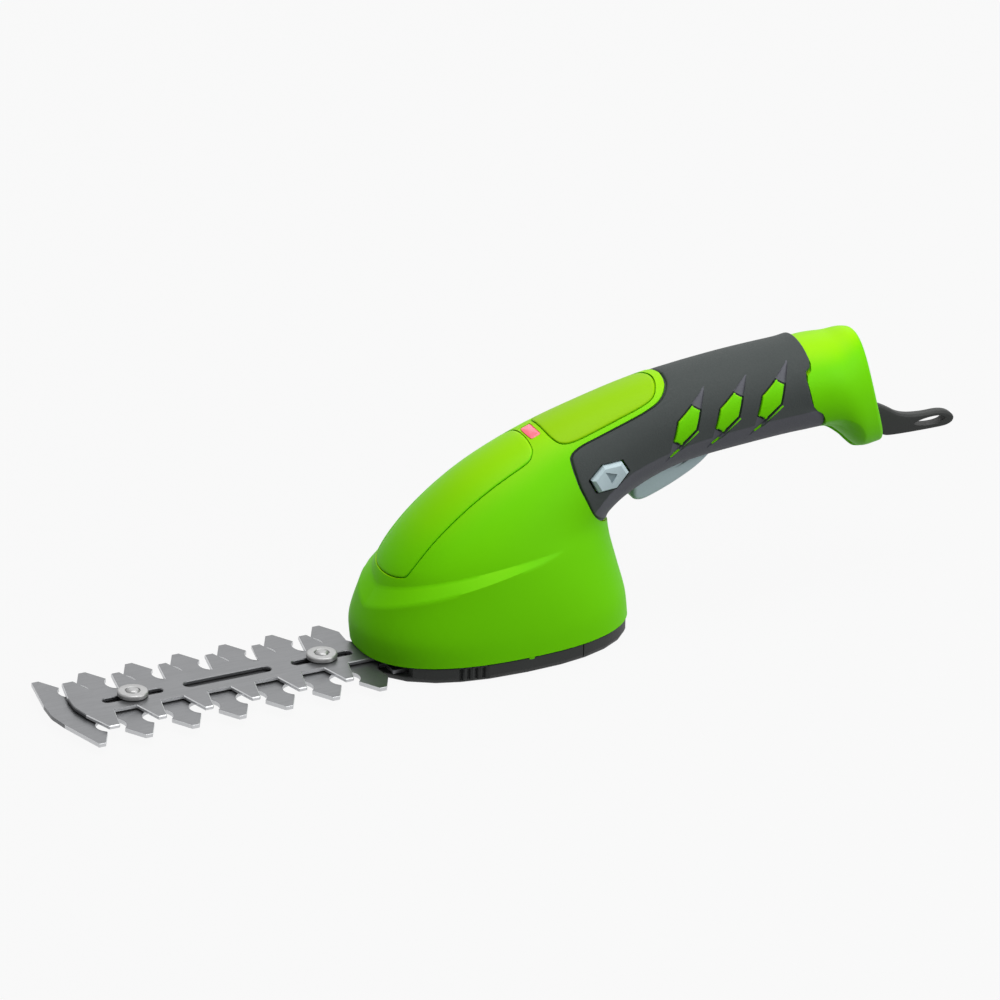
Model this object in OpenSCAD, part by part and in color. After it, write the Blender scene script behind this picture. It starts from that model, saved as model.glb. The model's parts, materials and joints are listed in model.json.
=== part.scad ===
// Cordless grass shears with a double-sided shrub blade, in millimetres.
// The blade points to -X, the handle to +X, and the sole stands on Z = 0.

/* [Body] */
// Front of the dome ahead of the origin
nose_reach = 51; // [48:0.5:58]
// Back of the dome behind the origin
heel_reach = 53; // [52:0.5:60]
// Width of the dome at its foot
body_w = 66; // [64:1:76]
// Height of the ridge at the status lens
ridge_h = 79.5; // [78:0.5:86]
// Width of the neck at the status lens
neck_w = 42; // [40:1:48]
// Throat between dome and handle, behind the origin
throat_x = 50.5; // [50:0.5:56]
// Wall of the housing
wall = 2.4; // [2:0.2:3]
// How far the skirt stands out below its ledge
skirt_bulge = 1; // [0.4:0.1:1.6]
// Thickness of the nose and top panels
panel_t = 1.2; // [0.8:0.1:1.4]
// Half width of the status lens
lens_half = 4.5; // [3.5:0.1:5]

/* [Handle] */
// Rise of the handle's top line above the ridge
grip_rise = 17.5; // [16.5:0.5:22]
// Height of the grip from its underside to its top line
grip_h = 35.5; // [34:0.5:38]
// Width of the grip
grip_w = 35; // [34:0.5:40]
// End of the grip behind the origin
grip_end = 120; // [118:0.5:130]
// Thickness of the soft grip sleeve
grip_t = 2; // [1.6:0.1:2.4]
// Drop of the throat below the grip's underside
throat_drop = 12; // [10:0.5:14]
// Drop of the hook at the handle's end below the grip's underside
hook_drop = 13; // [10:0.5:15]
// Wall of the end cap
cap_t = 2.2; // [1.8:0.1:2.6]
// Distance between the hexagonal windows of the grip
window_pitch = 17.1; // [16.5:0.1:18]
// Length of the hanging loop beyond the end cap
loop_len = 33; // [30:0.5:40]
// Thickness of the hanging loop
loop_t = 4.2; // [3:0.1:5]
// Height of the eye in the hanging loop
eye_h = 4.6; // [4.2:0.1:6]

/* [Base] */
// Height of the black base
base_h = 6; // [6:0.1:7]
// Shadow gap between base and housing
foot_gap = 0.5; // [0.3:0.1:0.8]
// Floor of the blade cover
floor_t = 2.4; // [2:0.1:2.6]
// Joint between blade cover and base frame, behind the origin
seam_x = 25; // [24:0.5:30]
// Thickness of the frame plate inside the housing
frame_t = 2.2; // [2:0.1:3]

/* [Blades] */
// Distance between neighbouring teeth
tooth_pitch = 18.8; // [17:0.1:20]
// Teeth on each side of the fixed blade
tooth_count = 7; // [5:1:8]
// Half width of the fixed blade over its teeth
fixed_half = 29; // [27:0.5:32]
// Half width of the moving blade over its teeth
moving_half = 20.4; // [19:0.2:22]
// Thickness of each blade
blade_t = 1.5; // [1.2:0.1:1.6]
// Rearmost tooth of the fixed blade ahead of the origin
last_tooth = 54.9; // [54.5:0.1:60]
// Distance between the two blade bolts
bolt_span = 76; // [70:1:80]
// Shoulder of a blade bolt
bolt_d = 3.8; // [3:0.1:4.2]
// Washer on a blade bolt
washer_d = 11.4; // [10:0.1:13]
// Thickness of that washer
washer_t = 2; // [1.4:0.1:2.4]

/* [Drive] */
// Throw of the crank, half the stroke of the moving blade
crank_r = 8; // [6:0.1:8.4]
// Crank pin
crank_pin_d = 6; // [5:0.1:6.4]
// Distance of the crank axis from the back of the skirt
crank_heel = 63; // [61:0.5:65]
// Module of the crank stage
crank_module = 1; // [0.9:0.02:1.04]
// Teeth of the crank gear
crank_teeth = 36; // [34:1:38]
// Teeth of the idler's small pinion
idler_small = 12; // [11:1:13]
// Module of the motor stage
motor_module = 0.7; // [0.66:0.01:0.74]
// Teeth of the idler's large gear
idler_large = 40; // [38:1:42]
// Teeth of the motor pinion
motor_teeth = 10; // [10:1:12]
// Width of the gears
gear_w = 4; // [3:0.1:5]
// Axle of the crank gear
crank_axle_d = 4; // [3:0.1:5]
// Axle of the idler
idler_axle_d = 3; // [2.4:0.1:3.6]
// Diameter of the motor
motor_d = 27.7; // [26:0.1:28.4]
// Height of the ridge above the motor can
motor_head = 25.3; // [24:0.1:28]
// Motor shaft
shaft_d = 2.3; // [2:0.1:3]
// Thickness of the gear plate
plate_t = 2.5; // [2:0.1:3]
// Posts under the gear plate
post_d = 7; // [6:0.1:8]
// Screws of housing, base and motor
screw_d = 3; // [2.6:0.1:3.2]

/* [Controls] */
// Width of the trigger
trigger_w = 11; // [9:0.5:12]
// Pull of the trigger in degrees
trigger_pull = 9; // [6:0.5:10]
// Pivot pin of the trigger
trigger_pin_d = 3; // [2.4:0.1:3.4]
// Stem of the lock-off button
lock_stem_d = 6; // [5:0.1:7]
// Travel of the lock-off button
lock_travel = 2.5; // [1.5:0.1:2.6]
// How far the lock-off button stands out
lock_proud = 2; // [1.2:0.1:2.6]

/* [Battery] */
// Diameter of the cell
cell_d = 18.2; // [17:0.1:18.6]
// Length of the cell
cell_len = 65; // [58:0.5:66]
// Bore of the charging socket
jack_d = 5.5; // [5:0.1:6]
// Depth of that bore
jack_depth = 8; // [6:0.1:8.4]

/* [Clearances] */
// Gap between shells that lie on each other
shell_fit = 0.2; // [0.15:0.01:0.3]
// Gap around pieces that move or are dropped into place
free_fit = 0.35; // [0.3:0.01:0.5]
// Radial gap of a running bearing
run_fit = 0.04; // [0.03:0.01:0.08]
// Flank play of the gears
gear_play = 0.2; // [0.16:0.01:0.3]

/* [Hidden] */
$fn = 48;
bite = 0.6;

// Heights of the blade stack and the drive, from the sole up
foot_z = base_h + foot_gap;
fixed_z = floor_t + free_fit;
moving_z = fixed_z + blade_t + free_fit;
frame_z = moving_z + blade_t + free_fit;
frame_top = frame_z + frame_t;
crank_gear_z = frame_top + free_fit;
idler_large_z = crank_gear_z + gear_w + free_fit;
plate_z = idler_large_z + gear_w + free_fit;
motor_z = plate_z + plate_t;
motor_top = ridge_h - motor_head;
motor_len = motor_top - motor_z;
pressure_angle = 25;

// Heights of the handle, from the ridge of the dome, and its length
grip_top = ridge_h + grip_rise;
grip_low = grip_top - grip_h;
throat_z = grip_low - throat_drop;
hook_z = grip_low - hook_drop;
handle_end = grip_end + 36;
function front_z(share) = foot_z + share * (ridge_h - foot_z);
function back_z(share) = foot_z + share * (throat_z - foot_z);

// Axes of the drive, seen from above
crank_x = heel_reach - crank_heel;
crank_stage = crank_module * (crank_teeth + idler_small) / 2;
motor_stage = motor_module * (idler_large + motor_teeth) / 2;
idler_turn = 25;
idler_x = crank_x + crank_stage * cos(idler_turn);
idler_y = crank_stage * sin(idler_turn);
motor_turn = -asin(idler_y / motor_stage);
motor_x = idler_x + motor_stage * cos(motor_turn);
crank_lash = 0.211 * crank_r;
hub_r = crank_r + crank_pin_d / 2 + 1;
boss_r = 4.5;
motor_hole_r = 8;

// Body skin: each station gives the outer and inner point of a section in the
// middle plane, its half width and the exponent of its rounded outline. The
// sections fan from the flat foot round the throat to the end of the handle.
stations = [
    [-nose_reach, foot_z, heel_reach, foot_z, body_w / 2, 2.4],
    [-nose_reach, front_z(0.13), heel_reach - 1, back_z(0.22), body_w / 2, 2.4],
    [-nose_reach + 4.7, front_z(0.295), heel_reach - 4, back_z(0.5), body_w / 2 - 1, 2.3],
    [-nose_reach + 11.5, front_z(0.473), throat_x - 4, back_z(0.756), body_w / 2 - 3, 2.2],
    [-nose_reach + 24, front_z(0.664), throat_x - 4, back_z(0.919), body_w / 2 - 6, 2.1],
    [-9, front_z(0.849), throat_x, throat_z, neck_w / 2 + 3, 2.05],
    [14, ridge_h, throat_x + 7.5, throat_z + 3.5, neck_w / 2, 2.05],
    [40, (ridge_h + grip_top) / 2 - 0.75, throat_x + 17.5, grip_low - 5, grip_w / 2 + 1.5, 2.05],
    [66, grip_top - 4, 80, grip_low - 2.5, grip_w / 2 + 0.5, 2.1],
    [95, grip_top - 1, 100, grip_low - 1, grip_w / 2, 2.1],
    [grip_end, grip_top, grip_end + 2, grip_low, grip_w / 2, 2.1],
    [grip_end + 13, grip_top + 0.5, grip_end + 16, grip_low - 1, grip_w / 2 + 0.5, 2.1],
    [grip_end + 22, grip_top, grip_end + 27, hook_z + 3.5, grip_w / 2 - 0.5, 2.1],
    [handle_end - 6, grip_top - 1.5, handle_end, hook_z + 3, grip_w / 2 - 3, 2.1]];
last = len(stations) - 1;

// Places along the skin, counted in stations
nose_from = 2.64;
nose_to = 5.95;
lens_from = 6.06;
lens_to = 6.26;
top_from = 6.3;
top_to = 7.98;
grip_from = 6.1;
grip_back = 8.15;
grip_to = 10.25;
core_to = 11.8;
round_from = 12.7;
end_round = 2.5;
step = 0.02;
grip_edge = 52;
grip_rake = 1.9;
side_edge = 0.01;
panel_edge = 0.03;

function clamp(v, low, high) = max(low, min(high, v));
function signed_pow(v, e) = sign(v) * pow(abs(v), e);
function smooth(v) = let (c = clamp(v, 0, 1)) c * c * (3 - 2 * c);
function station(t) =
    let (i = clamp(floor(t), 0, last - 1), f = t - i,
        a = stations[max(i - 1, 0)], b = stations[i],
        c = stations[i + 1], d = stations[min(i + 2, last)])
    0.5 * (2 * b + (c - a) * f + (2 * a - 5 * b + 4 * c - d) * f * f
        + (3 * b - a - 3 * c + d) * f * f * f);

// Half angle of the panels, and the angle at a place s round a section:
// s = 1 is the panels' edge, 2 the grip's upper edge and 3 the underside
function panel_angle(t) = lookup(t, [[0, 20], [nose_from, 22], [5.8, 35], [6.3, 42], [last, 42]]);
function angle_at(t, s) = s <= 1 ? s * panel_angle(t)
    : s <= 2 ? panel_angle(t) + (s - 1) * (grip_edge - panel_angle(t))
    : grip_edge + (s - 2) * (180 - grip_edge);

// The grip's front edge leans back under the throat, so the sections lean with it
function lean(t, angle) = grip_rake * clamp((angle - 55) / 83, 0, 1)
    * (t < grip_from ? clamp((t - 2) / (grip_from - 2), 0, 1) : clamp((8.3 - t) / (8.3 - grip_from), 0, 1));

// Skirt that stands out below a ledge and fades towards the back
function ledge_low(angle) = 1.65 + angle * 0.0148 + pow(max(angle - 50, 0), 2) * 0.00004;
function ledge_high(angle) = 2.25 + angle * 0.011 + pow(max(angle - 60, 0), 2) * 0.00002;
function ledge(t, angle) =
    let (low = ledge_low(angle), high = ledge_high(angle), fade = 1 - smooth((angle - 70) / 40))
    skirt_bulge * fade * (t < low ? exp((t - low) / 0.8)
        : t > high ? -exp((high - t) / 0.8)
        : 1 - 2 * smooth((t - low) / (high - low)));
function end_shrink(t) = t < round_from ? 0
    : let (f = (t - round_from) / (last - round_from)) end_round * (sqrt(1 - f * f * 0.96) - 1);

// Point of the skin at section t, place s round it, moved out by off
function skin(t, s, off) =
    let (turn = angle_at(t, abs(s)), place = t - lean(t, turn), st = station(place),
        e = off + ledge(place, turn) + end_shrink(place),
        half = [(st[0] - st[2]) / 2, (st[1] - st[3]) / 2],
        grow = 1 + e / norm(half),
        c = signed_pow(cos(turn), 2 / st[5]) * grow,
        w = sign(s) * signed_pow(sin(turn), 2 / st[5]) * (st[4] + e))
    [(st[0] + st[2]) / 2 + half[0] * c, w, (st[1] + st[3]) / 2 + half[1] * c];
function middle(t) = let (st = station(t)) [(st[0] + st[2]) / 2, 0, (st[1] + st[3]) / 2];

panel_side = 1 - 2.5 * panel_edge;
panel_places = [-panel_side, -0.64, -0.32, 0, 0.32, 0.64, panel_side];
half_ring = concat([0, 0.32, 0.64, 1 - panel_edge, 1, 1.5, 2, 2 + side_edge], [for (k = [1:10]) 2 + k / 10]);
ring = concat([for (k = [len(half_ring) - 2:-1:1]) -half_ring[k]], half_ring);
outer_steps = [0, 0.4, 0.8, 1.2, 1.6, 1.9, 2.1, 2.3, 2.5, nose_from - step, nose_from, 2.95, 3.3, 3.7,
    4.1, 4.5, 4.9, 5.3, 5.65, nose_to, nose_to + step, grip_from, grip_from + step, top_from - step,
    top_from, 6.7, 7.1, 7.5, top_to, top_to + step, grip_back, grip_back + step, 8.6, 9.1, 9.6, grip_to,
    grip_to + step, 10.6, 11, 11.4, core_to];
inner_steps = [0, 0.6, 1.2, 1.8, 2.4, 3, 3.6, 4.2, 4.8, 5.4, grip_from, 6.6, 7.1, 7.6, 8.2, 9, 9.6,
    10.4, 11.2, core_to + 0.3];
function under_grip(t, s) = t < grip_to + step / 2
    && (t > grip_back + step / 2 || (t > grip_from + step / 2 && abs(s) > 2 + side_edge / 2));
function under_panel(t, s) = abs(s) < 1 - panel_edge / 2
    && ((t > nose_from - step / 2 && t < nose_to + step / 2)
        || (t > top_from - step / 2 && t < top_to + step / 2));
core_drop = grip_t + shell_fit;
function outer_off(t, s) = under_grip(t, s) ? -core_drop
    : under_panel(t, s) ? -panel_t - shell_fit
    : t > grip_to + step / 2 ? -cap_t - shell_fit : 0;
function inner_off(t) = -wall - core_drop * clamp((t - 4) / (grip_from - 4), 0, 1);

// Closed solid through rings of points; each end is a strip across its ring
module loft(rings) {
    n = len(rings[0]);
    m = len(rings);
    top = (m - 1) * n;
    sides = [for (i = [0:m - 2]) for (j = [0:n - 1])
        let (a = i * n + j, b = i * n + (j + 1) % n) each [[a, b, a + n], [b, b + n, a + n]]];
    ends = [for (j = [0:n / 2 - 2]) let (k = n - 1 - j)
        each [[k, j + 1, j], [k, k - 1, j + 1],
            [top + k, top + j, top + j + 1], [top + k, top + j + 1, top + k - 1]]];
    polyhedron([for (r = rings) each r], concat(sides, ends));
}
module skin_solid(steps, off) {
    loft([for (t = steps) [for (s = ring) skin(t, s, off(t, s))]]);
}
// Piece of skin between two depths, over some sections and some places round them
module skin_patch(steps, places, top, under) {
    rings = [for (t = steps) concat([for (s = places) skin(t, s, top)],
        [for (k = [len(places) - 1:-1:0]) skin(t, places[k], under)])];
    loft(rings);
}
// A moulding is one closed skin of flat facets
module moulded() {
    resize([0, 0, 0]) children();
}
module along_y(from, to) {
    translate([0, to, 0]) rotate([90, 0, 0]) linear_extrude(to - from) children();
}
function foot_outline(off) = [for (s = ring) let (p = skin(0, s, off)) [p[0], p[1]]];

// Screws across the two halves, as X and Z
screw_spots = [[-nose_reach + 13, front_z(0.288)], [-4, ridge_h - 22], [heel_reach - 6.5, foot_z + 8],
    [44, ridge_h - 1]];
screw_seat = 6;
screw_head_d = screw_d + 2.6;
screw_head_t = 2;
screw_bite = 9;
boss_d = screw_head_d + 3.4;

// Hexagonal windows of the grip, seen from the side
window_first = [72.8, grip_low + 17.2];
window_rise = 1.65;
window_shape = [[2.6, 7.6], [6.3, 5.2], [4.1, -2.4], [-2.6, -7.8], [-6.3, -5.2], [-4.1, 2.6]];

// Lock-off button, seen from the side
lock_at = [40.1, ridge_h - 13.3];
lock_shape = [[7.7, 0.3], [5.2, 4.7], [-2.4, 4.5], [-7.7, 0.3], [-5.2, -4.6], [2.6, -4.8]];
lock_skin = neck_w / 2 - 0.6;
lock_face = lock_skin + lock_proud;
guide_t = 1.5;
guide_y = neck_w / 2 - core_drop - wall - 2;
guide_len = 9;
lock_under = guide_y + lock_travel + 1.3;

// Trigger, seen from the side: it turns about its pin at the back
pin_at = [87, grip_low + 1.2];
trigger_front = 57.5;
trigger_top = grip_low - 1.5;
opening_half = trigger_w / 2 + 2.5;
frame_side = 1.5;
trigger_lift = (pin_at[0] - trigger_front - 3) * sin(trigger_pull);
switch_top = trigger_top + trigger_lift + 2 + frame_side;

module housing_half(side) {
    moulded() difference() {
        union() {
            intersection() {
                difference() {
                    skin_solid(outer_steps, function (t, s) outer_off(t, s));
                    cavity(0);
                }
                half_space(side);
            }
            intersection() {
                for (p = screw_spots)
                    translate([p[0], side > 0 ? body_w / 2 : 0, p[1]]) rotate([90, 0, 0])
                        cylinder(d = boss_d, h = body_w / 2, $fn = 24);
                cavity(bite);
            }
        }
        for (p = screw_spots) translate([p[0], 0, p[1]]) rotate([-90, 0, 0]) {
            translate([0, 0, -screw_bite - 1]) cylinder(d = screw_d + 0.4, h = body_w, $fn = 24);
            translate([0, 0, screw_seat]) cylinder(d = screw_head_d + 0.8, h = body_w, $fn = 24);
        }
        lens_cut();
        trigger_opening();
        lock_opening();
    }
}
// Space inside the shell, open below the foot and at the handle's end
module cavity(grow) {
    rings = [for (t = inner_steps) [for (s = ring) skin(t, s, inner_off(t) + grow)]];
    loft(concat([[for (p = rings[0]) p - [0, 0, 1]]], rings));
}
module half_space(side) {
    translate([-300, side > 0 ? 0 : -200, -10]) cube([600, 200, 200]);
}
module lens_cut() {
    translate([middle_x(lens_from), -lens_half - free_fit, ridge_h - 8])
        cube([middle_x(lens_to) - middle_x(lens_from), 2 * (lens_half + free_fit), 20]);
}
// X of the ridge at a section
function middle_x(t) = skin(t, 0, 0)[0];
module trigger_opening() {
    translate([trigger_front - 5.5, -opening_half, hook_z - 4])
        cube([pin_at[0] + 6 - trigger_front + 5.5, 2 * opening_half, switch_top - hook_z + 4]);
}
module lock_opening() {
    along_y(-body_w, -guide_y + guide_t) translate(lock_at) polygon(lock_shape * 1.09);
}
module windows() {
    for (k = [0:2]) translate([k * window_pitch, 0, k * window_rise])
        along_y(-body_w, body_w) translate(window_first) polygon(window_shape);
}
module housing_left() {
    color("yellowgreen") housing_half(-1);
}
module housing_right() {
    color("yellowgreen") housing_half(1);
}
module nose_panel() {
    color("limegreen") moulded()
        skin_patch([nose_from + 2 * step, 2.95, 3.3, 3.7, 4.1, 4.5, 4.9, 5.3, 5.65, nose_to - 2 * step],
            panel_places, 0, -panel_t);
}
module top_panel() {
    color("greenyellow") moulded()
        skin_patch([top_from + step, 6.7, 7.1, 7.5, top_to - step],
            panel_places, 0, -panel_t);
}
board_t = 1.2;
lens_depth = wall + core_drop + 1.8;
module status_lens() {
    front = skin(lens_from, 0, 0);
    back = skin(lens_to, 0, 0);
    color("lightcoral") along_y(-lens_half, lens_half)
        polygon([[front[0] + shell_fit, front[2] + 0.1], [back[0] - shell_fit, back[2] + 0.1],
            [back[0] - shell_fit, front[2] - lens_depth], [front[0] + shell_fit, front[2] - lens_depth]]);
}
module lens_board() {
    front = skin(lens_from, 0, 0);
    color("darkgreen") translate([front[0] - 2, -lens_half - 1.5, front[2] - lens_depth - board_t - 0.05])
        cube([2 * lens_half, 2 * lens_half + 3, board_t]);
}
module grip_sleeve() {
    sleeve_steps = [top_from - step, 6.7, 7.1, 7.5, top_to, grip_back + step, 8.6, 9.1, 9.6];
    color("dimgray") moulded() difference() {
        skin_solid(concat([grip_from + 3 * step], sleeve_steps, [grip_to - step]), function (t, s) 0);
        skin_solid(concat([grip_from - 0.15], sleeve_steps, [grip_to + 0.3]), function (t, s) -grip_t);
        skin_patch([grip_from - 0.2, grip_from, top_from - step, 6.7, 7.1, 7.5, top_to, grip_back + 3 * step],
            concat([-2 - 2 * side_edge], [for (k = [-6:6]) k / 3], [2 + 2 * side_edge]), 3, -grip_t - 1);
        windows();
        trigger_opening();
        lock_opening();
    }
}
module end_cap() {
    cap_steps = [grip_to + 2 * step, 10.6, 11, 11.4, 11.8, 12.2, 12.5, round_from, 12.85, 12.95, last];
    color("yellowgreen") moulded() difference() {
        skin_solid(cap_steps, function (t, s) 0);
        skin_solid([grip_to - 0.1, 10.6, 11, 11.4, 11.8, 12.2, 12.6], function (t, s) -cap_t);
        loop_root(free_fit / 2);
        jack_place()
            cylinder(r = jack_d / 2 + jack_wall + shell_fit, h = 2 * jack_len, center = true, $fn = 30);
    }
}

// Hanging loop: a tapering tongue with an eye, rooted in the end of the cap
loop_x = handle_end - 1.5;
loop_z = hook_z + 11;
loop_drop = 5.5;
root_h = 10.5;
tip_h = eye_h + 2.4;
eye_len = 12.5;
module loop_root(grow) {
    along_y(-loop_t / 2 - grow, loop_t / 2 + grow)
        translate([loop_x - 5, loop_z - root_h / 2 - grow]) square([7, root_h + 2 * grow]);
}
module hanging_loop() {
    tip_x = loop_x + loop_len - tip_h / 2;
    tip_z = loop_z - loop_drop;
    color("dimgray") difference() {
        union() {
            loop_root(0);
            along_y(-loop_t / 2, loop_t / 2) polygon([[loop_x, loop_z - root_h / 2],
                [loop_x + 2, loop_z - root_h / 2], [loop_x + 6, tip_z - tip_h / 2 + 0.6],
                [tip_x, tip_z - tip_h / 2], [tip_x, tip_z + tip_h / 2], [tip_x - eye_len, tip_z + tip_h / 2],
                [loop_x + 5, loop_z + root_h / 2 - 2.6], [loop_x + 2, loop_z + root_h / 2],
                [loop_x, loop_z + root_h / 2]]);
            translate([tip_x, loop_t / 2, tip_z]) rotate([90, 0, 0]) cylinder(d = tip_h, h = loop_t);
            translate([loop_x - 5.6, -loop_t, loop_z - root_h / 2 + 1.5])
                cube([1.6, 2 * loop_t, root_h - 1.5]);
        }
        along_y(-loop_t, loop_t) translate([tip_x - eye_len + eye_h, tip_z - eye_h / 2])
            square([eye_len - eye_h, eye_h]);
        for (x = [tip_x - eye_len + eye_h, tip_x])
            translate([x, loop_t, tip_z]) rotate([90, 0, 0]) cylinder(d = eye_h, h = 2 * loop_t);
    }
}

// Base: the same foot outline, drawn in a little, with a rounded lower edge
module base_solid() {
    loft([for (r = [[0, -1.8], [0.7, -0.9], [2, -0.4], [base_h, -0.3]])
        [for (p = foot_outline(r[1])) [p[0], p[1], r[0]]]]);
}
post_spots = [for (x = [crank_x - 20.5, heel_reach - 16], y = [-13, 13]) [x, y]];
module base_frame() {
    color("dimgray") difference() {
        union() {
            intersection() {
                base_solid();
                translate([seam_x + shell_fit, -100, -1]) cube([100, 200, 20]);
            }
            intersection() {
                translate([0, 0, base_h - 1]) linear_extrude(frame_top - base_h + 1)
                    polygon(foot_outline(-wall - free_fit - 0.2));
                union() {
                    translate([-200, -100, frame_z]) cube([400, 200, 20]);
                    translate([seam_x + shell_fit, -100, 0]) cube([200, 200, 20]);
                }
            }
            for (p = peg_spots) translate([p[0], p[1], fixed_z - 0.1])
                cylinder(d = peg_d, h = frame_z + 0.5 - fixed_z);
        }
        translate([crank_x, 0, -1]) cylinder(r = hub_r + run_fit, h = 30);
        translate([idler_x, idler_y, frame_z + 0.6]) cylinder(d = idler_axle_d + 0.04, h = 10);
        for (p = post_spots) translate([p[0], p[1], -1]) {
            cylinder(d = screw_d + 0.3, h = 30);
            if (p[0] > seam_x) cylinder(d = screw_head_d + 0.6, h = frame_seat(p) + 1);
        }
    }
}
// Height of a base screw's seat: deep in the rear foot, or under the plate in front
function frame_seat(p) = p[0] > seam_x ? 4 : frame_z;
module base_screws() {
    color("silver") for (p = post_spots) translate([p[0], p[1], frame_seat(p)]) {
        translate([0, 0, -1.4]) cylinder(d = screw_head_d, h = 1.4);
        cylinder(d = screw_d, h = plate_z - 2 - frame_seat(p));
    }
}
slot_back = -nose_reach + 11;
module blade_cover() {
    color("dimgray") moulded() difference() {
        intersection() {
            base_solid();
            translate([seam_x - shell_fit - 200, -100, -1]) cube([200, 200, 20]);
        }
        translate([0, 0, floor_t]) linear_extrude(base_h) intersection() {
            polygon(foot_outline(-3.3));
            translate([-100, -100]) square([100 + seam_x - 3, 200]);
        }
        translate([-100, -100, floor_t]) cube([100 + slot_back, 200, base_h]);
        for (k = [0:3], side = [-1, 1]) translate([-24 + k * 3, side * (body_w / 2 - 2.1 + k * 0.57), 1.2])
            cylinder(d = 2.6, h = base_h, $fn = 12);
    }
}

// Blades: both carry teeth on each side, spaced by tooth_pitch
first_tooth = -last_tooth - (tooth_count - 1) * tooth_pitch;
front_bolt = first_tooth + 25.7;
bolt_spots = [front_bolt, front_bolt + bolt_span];
pocket_r = 5.7;
spine_half = 10.4;
tail_from = -nose_reach + 5.5;
ear_from = tail_from + 12;
ear_half = 23;
peg_spots = [for (side = [-1, 1]) [ear_from + 5, side * (ear_half - 3.5)]];
peg_d = 4;
function mirrored(half) = concat(half, [for (k = [len(half) - 1:-1:0]) [half[k][0], -half[k][1]]]);
module fixed_blade() {
    mouth = 3.6;
    pocket_y = spine_half + pocket_r;
    half = concat([[first_tooth - 6.8, 1], [first_tooth - 5.8, 9], [first_tooth - 1.4, fixed_half]],
        [for (k = [0:tooth_count - 2]) let (x = first_tooth + k * tooth_pitch, mid = x + tooth_pitch / 2)
            each [[x + 1.4, fixed_half], [mid - mouth, fixed_half - 8], [mid - mouth, pocket_y],
                [mid + mouth, pocket_y], [mid + mouth, fixed_half - 8], [x + tooth_pitch - 1.4, fixed_half]]],
        [[-last_tooth + 1.4, fixed_half], [-last_tooth + 5.7, fixed_half - 8],
        [-last_tooth + 5, spine_half + 3], [-last_tooth + 7, spine_half], [tail_from, spine_half],
        [tail_from, 17.5], [ear_from, 17.5], [ear_from, ear_half], [ear_from + 11, ear_half]]);
    color("darkgray") translate([0, 0, fixed_z]) difference() {
        linear_extrude(blade_t) polygon(mirrored(half));
        for (k = [0:tooth_count - 2], side = [-1, 1])
            translate([first_tooth + (k + 0.5) * tooth_pitch, side * pocket_y, -1])
                cylinder(r = pocket_r, h = blade_t + 2);
        for (x = bolt_spots) translate([x, 0, -1]) cylinder(d = bolt_d + 2 * run_fit, h = blade_t + 2);
        for (p = peg_spots) translate([p[0], p[1], -1]) cylinder(d = peg_d + 0.2, h = blade_t + 2);
    }
}
moving_tooth = first_tooth + tooth_pitch / 2;
yoke_half = crank_pin_d / 2 + crank_lash + free_fit;
moving_spine = 8;
// A slot with round ends, along X
module slot(from, to, d) {
    translate([from, -d / 2, -1]) cube([to - from, d, blade_t + 2]);
    for (x = [from, to]) translate([x, 0, -1]) cylinder(d = d, h = blade_t + 2);
}
module moving_blade() {
    yoke_y = crank_r + crank_pin_d / 2 + 0.5;
    yoke_x = yoke_half + 4;
    slot_mid = (bolt_spots[0] + bolt_spots[1]) / 2;
    half = concat([[moving_tooth - 7.2, 1], [moving_tooth - 6.2, moving_spine],
        [moving_tooth - 2.7, moving_half]],
        [for (k = [0:tooth_count - 2]) let (x = moving_tooth + k * tooth_pitch)
            each [[x + 1.7, moving_half], [x + 5.2, moving_spine], [x + tooth_pitch - 4.6, moving_spine],
                [x + tooth_pitch - 1.7, k < tooth_count - 2 ? moving_half : moving_spine]]],
        [[crank_x - yoke_x, moving_spine], [crank_x - yoke_x, yoke_y + 4], [crank_x + yoke_x, yoke_y + 4]]);
    color("gray") translate([0, 0, moving_z]) difference() {
        linear_extrude(blade_t) polygon(mirrored(half));
        for (x = bolt_spots) slot(x - crank_r - 2, x + crank_r + 2, bolt_d + 0.2);
        slot(slot_mid - 15, slot_mid + 15, 4.8);
        translate([crank_x - yoke_half, -yoke_y, -1]) cube([2 * yoke_half, 2 * yoke_y, blade_t + 2]);
    }
}
washer_z = moving_z + blade_t + 0.15;
module blade_bolts() {
    color("silver") for (x = bolt_spots) translate([x, 0, 0]) {
        translate([0, 0, fixed_z - 1.4]) cylinder(d = bolt_d + 3.6, h = 1.4);
        translate([0, 0, fixed_z - 0.1]) cylinder(d = bolt_d, h = washer_z + washer_t - fixed_z);
        translate([0, 0, washer_z + washer_t - 0.2]) intersection() {
            cylinder(d = bolt_d + 1, h = 2);
            translate([0, 0, -2.6]) sphere(r = 3.6);
        }
    }
}
module blade_washers() {
    color("gainsboro") for (x = bolt_spots) translate([x, 0, washer_z]) rotate_extrude()
        polygon([[bolt_d / 2 + 0.05, 0], [washer_d / 2, 0], [washer_d / 2, washer_t - 0.6],
            [washer_d / 2 - 0.6, washer_t], [bolt_d / 2 + 1.6, washer_t],
            [bolt_d / 2 + 0.7, washer_t - 0.5], [bolt_d / 2 + 0.05, washer_t - 0.5]]);
}

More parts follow.
